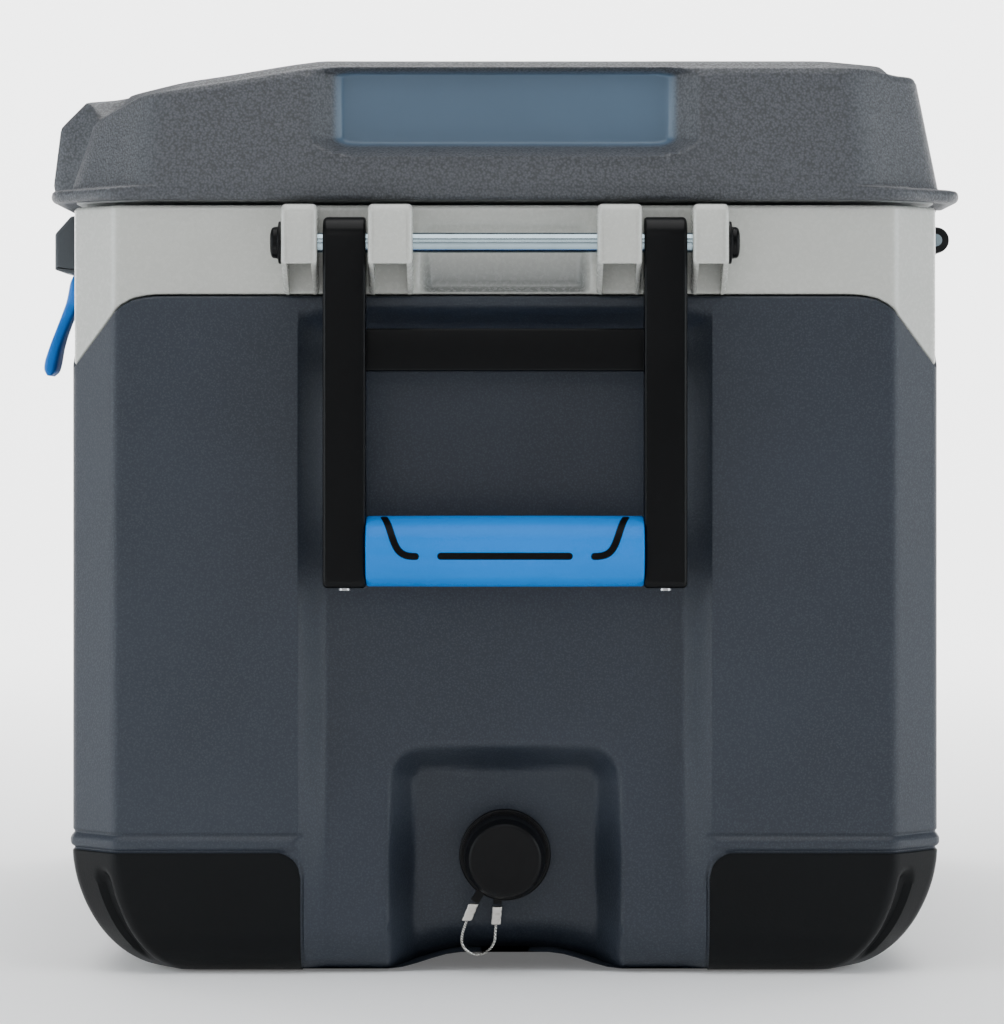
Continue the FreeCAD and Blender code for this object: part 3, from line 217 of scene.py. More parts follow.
def rounded_outline(corners, radii, steps=6):
    """Polygon corners joined by tangent arcs: at each corner the arc starts r tan(turn / 2) before it. With
    a radius of 0 at its two ends the same line is an open profile for lathe."""
    corners = np.asarray(corners, float)
    made = []
    for k, corner in enumerate(corners):
        r = radii[k] if hasattr(radii, "__len__") else radii
        before, after = corners[k - 1] - corner, corners[(k + 1) % len(corners)] - corner
        before, after = before / np.linalg.norm(before), after / np.linalg.norm(after)
        if r <= 0:
            made.append(corner[None])
            continue
        half = math.acos(np.clip(before @ after, -1, 1)) / 2
        middle = (before + after) / np.linalg.norm(before + after)
        centre = corner + middle * (r / math.sin(half))
        start, end = corner + before * (r / math.tan(half)), corner + after * (r / math.tan(half))
        share = np.linspace(0, 1, steps + 1)[:, None]
        chord = (start * (1 - share) + end * share) - centre
        made.append(centre + chord / np.linalg.norm(chord, axis=1, keepdims=True) * r)
    return np.concatenate(made)


def drawn_in(outline, inset):
    """A closed outline moved inwards: each point goes along the sum of its two edges' normals."""
    area = (outline[:, 0] * np.roll(outline[:, 1], -1) - np.roll(outline[:, 0], -1) * outline[:, 1]).sum()
    edge = np.roll(outline, -1, 0) - outline
    edge /= np.linalg.norm(edge, axis=1, keepdims=True)
    normal = np.stack([-edge[:, 1], edge[:, 0]], -1) * np.sign(area)
    both = normal + np.roll(normal, 1, 0)
    both /= np.maximum(1 + (normal * np.roll(normal, 1, 0)).sum(1, keepdims=True), 0.3)
    return outline + both * inset


def slab(outline, axis, low, high, r=(0.8, 0.8), steps=4):
    """An outline carried along an axis. Near each end it draws in by r - sqrt(r*r - (r - t)**2), t being
    the distance from the end, which rounds the edge."""
    stations = []
    for k in range(steps + 1) if r[0] > 0 else [steps]:
        t = r[0] * (1 - math.cos(math.pi / 2 * k / steps))
        stations.append((low + t, r[0] * (1 - math.sin(math.pi / 2 * k / steps))))
    for k in reversed(range(steps + 1)) if r[1] > 0 else [steps]:
        t = r[1] * (1 - math.cos(math.pi / 2 * k / steps))
        stations.append((high - t, r[1] * (1 - math.sin(math.pi / 2 * k / steps))))
    rows = []
    for along, inset in stations:
        flat = drawn_in(outline, inset) if inset > 0 else outline
        rows.append(np.insert(flat, axis, along, axis=1))
    return grid(np.array(rows))


def bar(start, end, across, width, thick, r, r_end, stations, change, steps=5):
    """A bar of rounded rectangular section from start to end. The section draws in near both ends with
    radius r_end; change then moves the points, given how far along they are and their section place."""
    start, end, across = (np.asarray(v, float) for v in (start, end, across))
    along = end - start
    length = np.linalg.norm(along)
    along /= length
    across /= np.linalg.norm(across)
    up = np.cross(along, across)
    turn = np.linspace(0, math.pi / 2, steps + 1)
    arc = np.concatenate([np.stack([np.cos(turn + q), np.sin(turn + q)], -1) for q in
                          np.arange(4) * math.pi / 2])
    side = np.sign(np.concatenate([[(1, 1)] * (steps + 1), [(-1, 1)] * (steps + 1),
                                   [(-1, -1)] * (steps + 1), [(1, -1)] * (steps + 1)]))
    bend = np.linspace(0, math.pi / 2, steps + 1)
    t = np.concatenate([r_end * (1 - np.cos(bend)), np.linspace(r_end, length - r_end, stations)[1:-1],
                        length - r_end * (1 - np.cos(bend[::-1]))])
    draw = r_end * (1 - np.sin(bend))
    draw = np.concatenate([draw, np.zeros(stations - 2), draw[::-1]])
    corner = np.array([width / 2, thick / 2]) - r - draw[:, None, None]
    place = change(t[:, None], side * corner + arc * r)
    return grid(start + along * t[:, None, None] + across * place[..., :1] + up * place[..., 1:])


def lathe(profile, centre, axis, count):
    """A profile of (distance along the axis, radius) turned round the axis through centre."""
    profile = np.asarray(profile, float)
    angle = np.arange(count) * 2 * math.pi / count
    radius = profile[:, 1:] * np.ones(count)
    a, b = [(1, 2), (2, 0), (0, 1)][axis]
    points = np.zeros(radius.shape + (3,))
    points[..., axis] = profile[:, :1] + centre[axis]
    points[..., a] = centre[a] + radius * np.cos(angle)
    points[..., b] = centre[b] + radius * np.sin(angle)
    return grid(points)


# --- finishes ---
class Amount:
    """A shader socket that can be reckoned with: each operator adds one Math node."""

    def __init__(self, finish, socket):
        self.finish, self.socket = finish, socket

    def _do(self, operation, a, b):
        return self.finish.add("ShaderNodeMath", {"operation": operation}, {0: a, 1: b})

    def __add__(self, other):
        return self._do("ADD", self, other)

    def __sub__(self, other):
        return self._do("SUBTRACT", self, other)

    def __rsub__(self, other):
        return self._do("SUBTRACT", other, self)

    def __mul__(self, other):
        return self._do("MULTIPLY", self, other)

    __radd__, __rmul__ = __add__, __mul__


class Finish:
    """A material built round one Principled shader."""

    def __init__(self, name, roughness=0.5, colour=(0.5, 0.5, 0.5), **fixed):
        self.material = bpy.data.materials.new(name)
        self.material.use_nodes = True
        self.nodes, self.links = self.material.node_tree.nodes, self.material.node_tree.links
        self.nodes.clear()
        self.shader = self.nodes.new("ShaderNodeBsdfPrincipled")
        out = self.nodes.new("ShaderNodeOutputMaterial")
        self.links.new(self.shader.outputs[0], out.inputs[0])
        self.set("Roughness", roughness)
        self.set("Base Color", colour)
        for name, value in fixed.items():
            self.set(name.replace("_", " "), value)
        self.place = self.add("ShaderNodeTexCoord", {}, {}, "Object")

    def set(self, name, value):
        """A plain value or a link on one of the shader's sockets."""
        self._feed(self.shader.inputs[name], value)

    def _feed(self, socket, value):
        if isinstance(value, Amount):
            self.links.new(value.socket, socket)
        elif hasattr(value, "__len__") and len(value) == 3 and socket.type == "RGBA":
            socket.default_value = (*value, 1)
        else:
            socket.default_value = value

    def add(self, kind, settings, sockets, out=0):
        """Any node: its settings first, then the values or links of its sockets."""
        node = self.nodes.new(kind)
        for name, value in settings.items():
            setattr(node, name, value)
        for name, value in sockets.items():
            self._feed(node.inputs[name], value)
        return Amount(self, node.outputs[out])

    def noise(self, size, detail=2.0, rough=0.5, place=None):
        """Noise between 0 and 1 whose blots are about size metres across."""
        return self.add("ShaderNodeTexNoise", {}, {"Vector": place or self.place, "Scale": 1 / size,
                                                   "Detail": detail, "Roughness": rough})

    def cells(self, size, soft):
        """Distance from the middle of soft cells about size metres across."""
        return self.add("ShaderNodeTexVoronoi", {"feature": "SMOOTH_F1"},
                        {"Vector": self.place, "Scale": 1 / size, "Smoothness": soft})

    def range(self, value, low, high, to_low=0.0, to_high=1.0):
        """Value from low to high taken to another range, and held there."""
        return self.add("ShaderNodeMapRange", {}, {"Value": value, "From Min": low, "From Max": high,
                                                   "To Min": to_low, "To Max": to_high})

    def mix(self, share, first, second):
        """Colour between two by share."""
        return self.add("ShaderNodeMix", {"data_type": "RGBA"}, {0: share, 6: first, 7: second}, 2)

    def mark(self):
        """The piece's own mark, 0 to 1, painted on its points."""
        return self.add("ShaderNodeAttribute", {"attribute_name": "mark"}, {}, "Fac")

    def bump(self, height, distance, strength=1.0):
        """Relief of that height in metres, where height is 0 to 1."""
        self.set("Normal", self.add("ShaderNodeBump", {}, {"Height": height, "Distance": distance,
                                                           "Strength": strength}))


def toned(colour, factor):
    """The colour with its three values multiplied by the factor."""
    return tuple(factor * c for c in colour)


def moulded(name, colour, roughness, grain, depth, shift, specular=0.5):
    """Moulded plastic: fine grain in the relief, cloudy colour and patchy gloss. The colour lies between
    (1 - shift) and (1 + shift) of itself."""
    f = Finish(name, roughness, colour, Specular_IOR_Level=specular)
    cloud = f.noise(0.07, 3.0)
    fine = f.noise(grain, 2.0, 0.6)
    share = f.range(cloud * 0.7 + fine * 0.3, 0.35, 0.65)
    f.set("Base Color", f.mix(share, toned(colour, 1 - shift), toned(colour, 1 + shift)))
    f.set("Roughness", f.range(cloud * 0.5 + fine * 0.5, 0.3, 0.7, roughness - 0.05, roughness + 0.06))
    f.bump(fine, depth)
    return f.material


def lid_finish():
    """Pebbled lid: soft cells about a millimetre across stand up, their tops painted paler as highlight and the
    edges between them painted darker as shade; where the mark is 0, as in the end recess, the surface is smooth
    and a little bluer."""
    colour, smooth_colour = (0.049, 0.053, 0.061), (0.062, 0.108, 0.165)
    f = Finish("lid_pebble", 0.45, colour, Specular_IOR_Level=0.5)
    grain = f.mark()
    cell = f.cells(0.00115, 0.5)
    wobble = f.noise(0.0011, 3.0, 0.65)
    height = f.range(cell * 0.6 + wobble * 0.7, 0.3, 0.95)
    cloud = f.noise(0.09, 3.0)
    # Painted light and shade on the grain: pebble tops 1.45 times paler, the edges between them 0.68 times
    # darker.
    pebble_painted_light = f.range(height, 0.25, 0.75)
    pebbles = f.mix(pebble_painted_light, toned(colour, 1.45), toned(colour, 0.68))
    flat = f.mix(f.range(cloud, 0.35, 0.65), toned(smooth_colour, 0.9), smooth_colour)
    f.set("Base Color", f.mix(grain, flat, pebbles))
    f.set("Roughness", f.range(height * grain, 0.0, 1.0, 0.36, 0.52))
    f.bump((1 - height) * grain + f.noise(0.0008, 2.0) * 0.06, 0.00028, 0.9)
    return f.material


def shell_finish():
    """Blue-grey shell with a fine spark grain and cloudy tone."""
    colour = (0.0185, 0.0240, 0.0345)
    f = Finish("shell_grain", 0.42, colour, Specular_IOR_Level=0.35)
    fine = f.noise(0.0007, 2.0, 0.7)
    cell = f.cells(0.0011, 0.3)
    cloud = f.noise(0.11, 3.0)
    height = f.range(fine * 0.7 + cell * 0.5, 0.35, 0.9)
    base = f.mix(f.range(cloud, 0.35, 0.65), toned(colour, 0.88), toned(colour, 1.1))
    f.set("Base Color", f.mix(f.range(height, 0.12, 0.5, 0.6, 0.0), base, (0.038, 0.046, 0.058)))
    f.set("Roughness", f.range(fine + cloud * 0.4, 0.4, 1.0, 0.38, 0.5))
    f.bump(height, 0.00009, 0.8)
    return f.material


def collar_finish():
    """Light grey gloss plastic; where the mark is 1, at the foot of the panel between the inner ears, it is
    darker: painted shade.
    """
    colour = (0.49, 0.495, 0.46)
    f = Finish("collar_gloss", 0.25, colour, Coat_Weight=0.35, Coat_Roughness=0.12)
    cloud, fine = f.noise(0.12, 3.0), f.noise(0.002, 3.0)
    base = f.mix(f.range(cloud, 0.35, 0.65), toned(colour, 0.95), toned(colour, 1.04))
    # The mark mixes in dark grey: painted shade at the foot of the panel under the rod.
    f.set("Base Color", f.mix(f.mark(), base, (0.13, 0.14, 0.14)))
    f.set("Roughness", f.range(fine, 0.3, 0.7, 0.22, 0.31))
    f.bump(f.noise(0.02, 2.0) * 0.8 + fine * 0.2, 0.00005, 0.5)
    return f.material


def steel_finish(name, colour, roughness, brushed=0.0):
    """Metal with fine lines along y and a few smudges."""
    f = Finish(name, roughness, colour, Metallic=1.0)
    along = f.add("ShaderNodeMapping", {}, {"Vector": f.place, "Scale": (1.0, 0.02, 1.0)})
    lines = f.noise(0.0006, 2.0, 0.6, along)
    smudge = f.noise(0.012, 3.0)
    f.set("Base Color", f.mix(f.range(smudge, 0.35, 0.7), toned(colour, 0.88), colour))
    f.set("Roughness", f.range(lines * 0.5 + smudge * 0.5, 0.3, 0.7, roughness * 0.8, roughness * 1.4))
    f.bump(lines, 0.00001 + 0.00003 * brushed, 0.5)
    return f.material


def wire_finish():
    """Stranded cable: slanting bands, bright on the strands and dark between them, the dark being painted shade
    in the grooves.
    """
    f = Finish("wire_strands", 0.3, (0.5, 0.49, 0.46), Metallic=1.0)
    bands = f.add("ShaderNodeTexWave", {"bands_direction": "DIAGONAL"},
                  {"Vector": f.place, "Scale": 420.0, "Distortion": 0.6, "Detail": 1.0}, "Fac")
    # Painted shade: the dark colour between the bands stands for shade in the grooves between strands.
    f.set("Base Color", f.mix(bands, (0.22, 0.215, 0.20), (0.62, 0.61, 0.57)))
    f.set("Roughness", f.range(bands, 0.0, 1.0, 0.45, 0.25))
    f.bump(bands, 0.0001, 0.8)
    return f.material


# Slot: name, colour, roughness, size of the grain, depth of its relief, spread of tone, specular level.
MOULDED = {
    "foot": ("foot_rubber", (0.0016, 0.0022, 0.0028), 0.42, 0.0012, 0.00008, 0.2, 0.14),
    "handle_black": ("handle_nylon", (0.0010, 0.0012, 0.0016), 0.32, 0.0009, 0.00004, 0.2, 0.14),
    "grip_blue": ("grip_blue_gloss", (0.0, 0.19, 0.66), 0.34, 0.0010, 0.00003, 0.05, 0.12),
    "inlay": ("inlay_black", (0.0010, 0.0010, 0.0012), 0.5, 0.0008, 0.00003, 0.15, 0.1),
    "latch_rubber": ("latch_blue_rubber", (0.0, 0.13, 0.50), 0.45, 0.0010, 0.00005, 0.10, 0.2),
    "keeper": ("keeper_grey", (0.036, 0.043, 0.050), 0.42, 0.0010, 0.00006, 0.12),
    "hinge": ("hinge_black", (0.0040, 0.0044, 0.0050), 0.42, 0.0010, 0.00006, 0.15, 0.25),
    "drain_black": ("drain_black_matt", (0.0014, 0.0014, 0.0018), 0.44, 0.0009, 0.00006, 0.2, 0.16),
    "seal_rubber": ("seal_rubber", (0.004, 0.004, 0.005), 0.7, 0.0009, 0.00005, 0.2),
    "liner": ("liner_white", (0.74, 0.75, 0.74), 0.32, 0.0015, 0.00004, 0.03),
    "foam": ("foam_yellow", (0.70, 0.62, 0.38), 0.9, 0.0020, 0.0004, 0.15),
}
FINISHES = {
    "shell": shell_finish(),
    "collar": collar_finish(),
    "lid": lid_finish(),
    "rod_steel": steel_finish("rod_polished", (0.36, 0.46, 0.51), 0.14),
    "screw_steel": steel_finish("screw_steel", (0.62, 0.62, 0.64), 0.25, 0.5),
    "crimp": steel_finish("crimp_nickel", (0.62, 0.60, 0.56), 0.3, 1.0),
    "wire": wire_finish(),
    **{slot: moulded(*made) for slot, made in MOULDED.items()},
}



# --- the chest ---
def foot_reach(x, y):
    """How far a point of the chest's outline lies past the feet's ends, negative between the feet."""
    return np.minimum(np.abs(y) - FOOT_Y, np.abs(x) - FOOT_X)


def turned_under(x, y, z):
    """The lower edge rolled under: only the stretch beyond 195 along and 100 across is squeezed, so that
    the ends come in by a quarter ellipse and the sides by (1 - (1 - t**1.8)**(1/1.8)) of the roll."""
    along = np.clip(1 - z / ROLL_WIDTH[0], 0, 1)
    across = np.clip(1 - z / FOOT_TOP, 0, 1)
    in_x = ROLL_WIDTH[0] * (1 - np.sqrt(1 - along ** 2))
    in_y = ROLL_WIDTH[1] * (1 - (1 - across ** 1.8) ** (1 / 1.8))
    far_x, far_y = np.maximum(np.abs(x) - 195, 0), np.maximum(np.abs(y) - 100, 0)
    x = np.sign(x) * (np.abs(x) - far_x * in_x / (HALF_LENGTH - 195))
    y = np.sign(y) * (np.abs(y) - far_y * in_y / (HALF_DEPTH - 100))
    return x, y


def seam_height(x, y):
    """Height of the seam: level on the flats, a rounded shoulder, straight down across each corner, and
    back up over 40 mm of the long side."""
    x, y = np.abs(x), np.abs(y)
    end = np.interp(y, [160, 166, 171, 175.8, 180, 184.3, 205.5, 206.6],
                    [SEAM_Z, SEAM_Z - 0.1, SEAM_Z - 0.7, 319.7, 317.6, 314.7, 288.7, 288])
    side = np.interp(x, [236, 244, 250, 276, 282, 284], [SEAM_Z, SEAM_Z - 0.8, 315.5, 293, 289, 288])
    return np.where(y < HALF_DEPTH - 0.2, end, side)


def arch_lift(y, height):
    """The underside's arch between the feet, dying out by 40 mm up."""
    return 7.9 * (1 - smooth(np.abs(y), 20, 56)) * (1 - smooth(height, BOTTOM, 40))


def chest_dents(x, y, z, facing):
    """How far the shell stands back: the handle channel at both ends, the drain pocket in it at the drain
    end, the rebate under each foot and the line round it, less the bead over each foot."""
    end = facing > 0.99
    channel = 12 * (1 - ramp(np.abs(y), *CHANNEL)) * (1 - smooth(z, 304, 318))
    channel = channel * (0.3 + 0.7 * smooth(z, 5, 120))
    to_floor = rounded_distance(np.abs(y) - POCKET_Y, z - POCKET_TOP, 5)
    pocket = (1 - ramp(to_floor, 0.3, 12.7)) * (x > 0)
    reach = foot_reach(x, y)
    to_foot = rounded_distance(-reach, z - FOOT_TOP, FOOT_CORNER)
    rebate = 4 * (1 - smooth(to_foot, -4, -1)) + 0.9 * (1 - smooth(np.abs(to_foot - 0.6), 0.2, 1.1))
    to_bead = np.hypot(np.maximum(4 - reach, 0), z - 62.2)
    bead = 1.2 * (1 - smooth(to_bead, 0.8, 3.6))
    line = 0.7 * (1 - smooth(np.abs(z - 66.4), 0.2, 1.3)) * smooth(reach, -2, 1)
    return end * (channel + (26 - channel) * pocket) + rebate + line - bead


def make_shell():
    """The shell: rows across the underside, up the outside, over a rounded rim, down an inner wall and
    across its floor."""
    plan, normal = outline_ring(
        HALF_LENGTH, HALF_DEPTH, CORNER_CUT, CORNER_ROUND,
        ys=np.r_[0:39:7j, 41:59:13j, 62:80:4j, 83:94:8j, 95.2:98.8:9j, 100:108:6j],
        xs=np.r_[0:190:18j, 198.5:202:7j, 203:212:6j], tail=(14, 12))
    x, y = plan.T
    facing = np.abs(normal[:, 0])
    rim_r, still, floor_z = 1.6, 270, 38      # rows above `still` follow the seam
    heights = np.unique(np.r_[BOTTOM:54:23j, 54:70:33j, 72:116:19j, 122:280:24j, 284:300:5j,
                              302:SEAM_Z - rim_r:14j])
    z = np.repeat(heights[:, None], len(x), 1)
    seam = seam_height(x, y)
    z = np.where(z > still, still + (z - still) * (seam - still) / (SEAM_Z - still), z)
    dent = chest_dents(x, y, z, facing)
    rows_x, rows_y = turned_under(x - normal[:, 0] * dent, y - normal[:, 1] * dent, z)
    outer = np.stack([rows_x, rows_y, z + arch_lift(rows_y, z)], -1)
    bend = np.linspace(0, math.pi / 2, 5)[1:, None]
    in_by, up = rim_r * (1 - np.cos(bend)), rim_r * np.sin(bend)
    rim = np.stack([x - normal[:, 0] * in_by, y - normal[:, 1] * in_by, seam - rim_r + up + 0 * x], -1)
    narrow = np.array([(HALF_LENGTH - 31) / HALF_LENGTH, (HALF_DEPTH - 12) / HALF_DEPTH])
    inside = np.array([np.column_stack([plan * narrow, h + 0 * x]) for h in (seam - 2, floor_z)])
    fold = np.linspace(1, 0, 9)[1:, None]
    floor = np.stack([x * narrow[0] + 0 * fold, y * narrow[1] * fold, floor_z + 0 * x * fold], -1)
    under_y = outer[0, :, 1] * np.linspace(0, 1, 15)[:-1, None]
    under = np.stack([outer[0, :, 0] + 0 * under_y, under_y, BOTTOM + arch_lift(under_y, BOTTOM)], -1)
    points = np.concatenate([under, outer, rim, inside, floor])
    return grid(points, caps=False)


def make_collar():
    """The collar: a ring of closed section on the seam, its lower edge rounded by 1.4 and its upper one by
    2, with a shallow panel between the inner ears. Marks paint shade on the panel's foot, under the rod."""
    plan, normal = outline_ring(HALF_LENGTH, HALF_DEPTH, CORNER_CUT, CORNER_ROUND,
                                ys=np.r_[0:30:6j, 33:44:10j, 60:108:5j], xs=np.r_[0:200:8j, 230],
                                tail=(14, 12))
    x, y = plan.T
    low, high = seam_height(x, y) + 0.8, COLLAR_TOP + 0 * x
    bend = np.linspace(0, math.pi / 2, 6)[:, None]
    share = np.linspace(0, 1, 30)[1:-1, None]
    middle = (low + 1.4) * (1 - share) + (high - 2) * share
    z = np.concatenate([low + 1.4 * (1 - np.cos(bend)), middle, high - 2 * (1 - np.sin(bend))])
    in_by = np.concatenate([1.4 * (1 - np.sin(bend)), 0 * share, 2 * (1 - np.cos(bend))]) + 0.7 + 0 * x
    end = np.abs(normal[:, 0]) > 0.99
    in_by = in_by + (9 * (1 - smooth(np.abs(y), 34, 42)) * smooth(z, 322.5, 327)
                     * (1 - smooth(z, 326, 361)) * end)
    outer = np.stack([x - normal[:, 0] * in_by, y - normal[:, 1] * in_by, z], -1)
    rim, step, back = plan - normal * 3.1, plan - normal * 3.4, plan * (0.955, 0.96)
    inner = np.array([np.column_stack(row) for row in ((rim, high), (step, high - 4), (back, high - 6),
                                                       (back, low))])
    # Painted shade: the panel's foot under the rod, between the inner ears, is marked to be darkened in colour.
    panel_painted_shade = 0.8 * (1 - smooth(np.abs(y), 36, 42)) * smooth(z, 321, 324) * (1 - smooth(z, 326, 352)) * end
    marks = np.concatenate([panel_painted_shade, np.zeros((len(inner), len(x))), panel_painted_shade[:1]])
    return grid(np.concatenate([outer, inner, outer[:1]]), caps=False), marks


def make_ear(low, high):
    """One rod ear of the drain end: two cheeks and the band that joins their fronts and tops."""
    out, top, front_low, root = 334.0, 363.6, 335.6, 321.8
    cheek = rounded_outline([(302, top), (out, top), (out, front_low), (307, root), (302, root)],
                            [0, 4.5, 2, 1, 0])
    band = rounded_outline([(302, top), (out, top), (out, front_low), (out - 2.5, front_low),
                            (out - 2.5, top - 2.5), (302, top - 2.5)], [0, 4.5, 0.6, 0.6, 2, 0])
    return [slab(cheek, 1, low, low + 2.6, (2.2, 0)), slab(cheek, 1, high - 2.6, high, (0, 2.2)),
            slab(band, 1, low + 2.5, high - 2.5, (0, 0))]


def make_foot():
    """The foot of the drain end's rear corner: the chest's own corner from one foot end to the other, its
    top edge dropping in quarter circles at both ends, with a groove down the corner's flat."""
    plan, normal = quarter(HALF_LENGTH, HALF_DEPTH, CORNER_CUT, CORNER_ROUND,
                           ys=FOOT_Y + np.r_[0:13:14j, 15], xs=FOOT_X + np.r_[0:13:14j, 15], tail=(14, 12))
    x, y = plan.T
    reach = foot_reach(x, y)
    near = np.clip(FOOT_CORNER - reach, 0, FOOT_CORNER)
    top = FOOT_TOP - FOOT_CORNER + np.sqrt(FOOT_CORNER ** 2 - near ** 2)
    bend, edge_r, skin = np.linspace(0, math.pi / 2, 5), 1.1, 5.5
    levels = np.r_[0:12:13j, 13.5:54:22j] / 55
    z = np.concatenate([levels[:, None] * (top - edge_r), top - edge_r + edge_r * np.sin(bend[:, None])])
    in_by = np.concatenate([0 * levels, edge_r * (1 - np.cos(bend))])[:, None] - 0.25
    flat = (y - (HALF_DEPTH - CORNER_CUT / 2)) * math.sqrt(2) + 5.7
    to_groove = np.hypot(np.maximum(z - 44, 0), flat)
    groove = 3.2 * (1 - smooth(to_groove, 2.4, 5.8)) * smooth(z, 4, 13)
    in_by = in_by + groove * (normal[:, 0] < 0.999) * (normal[:, 1] < 0.999)
    rolled_x, rolled_y = turned_under(x - normal[:, 0] * in_by, y - normal[:, 1] * in_by, z)
    rolled_x, rolled_y = np.maximum(rolled_x, FOOT_X), np.maximum(rolled_y, FOOT_Y)
    wall = np.stack([rolled_x, rolled_y, z], -1)
    inner_z = levels[:8:-1, None] * (top - edge_r)
    inner_x, inner_y = turned_under(x - normal[:, 0] * skin, y - normal[:, 1] * skin, inner_z + 0 * x)
    inner = np.stack([np.maximum(inner_x, FOOT_X), np.maximum(inner_y, FOOT_Y), inner_z + 0 * x], -1)
    heel = np.array([[(FOOT_X, FOOT_Y, h)] * len(x) for h in (5.0, 0.0)])
    return grid(np.concatenate([wall, inner, heel]).transpose(1, 0, 2))


# --- the lid ---
def panel_height(y):
    """Height of the lid's raised panel: level, then falling 0.143 of the way to the front from y -84."""
    run = np.maximum(-84 - y, 0)
    return LID_TOP - 0.143 * (np.sqrt(run ** 2 + 64) - 8 + 8 * smooth(run, 0, 60))


def edge_height(x, y, brow):
    """Height of the lid's outer edge: LID_EDGE under the panel, a little lower at the rear, lower still round
    the front corners, and level with the panel along the brow."""
    corner = 0.30 * np.maximum(-174 - y, 0) * (1 - brow)
    return panel_height(y) - LID_EDGE * (1 - brow) - 2.4 * smooth(y, 172, 192) - corner


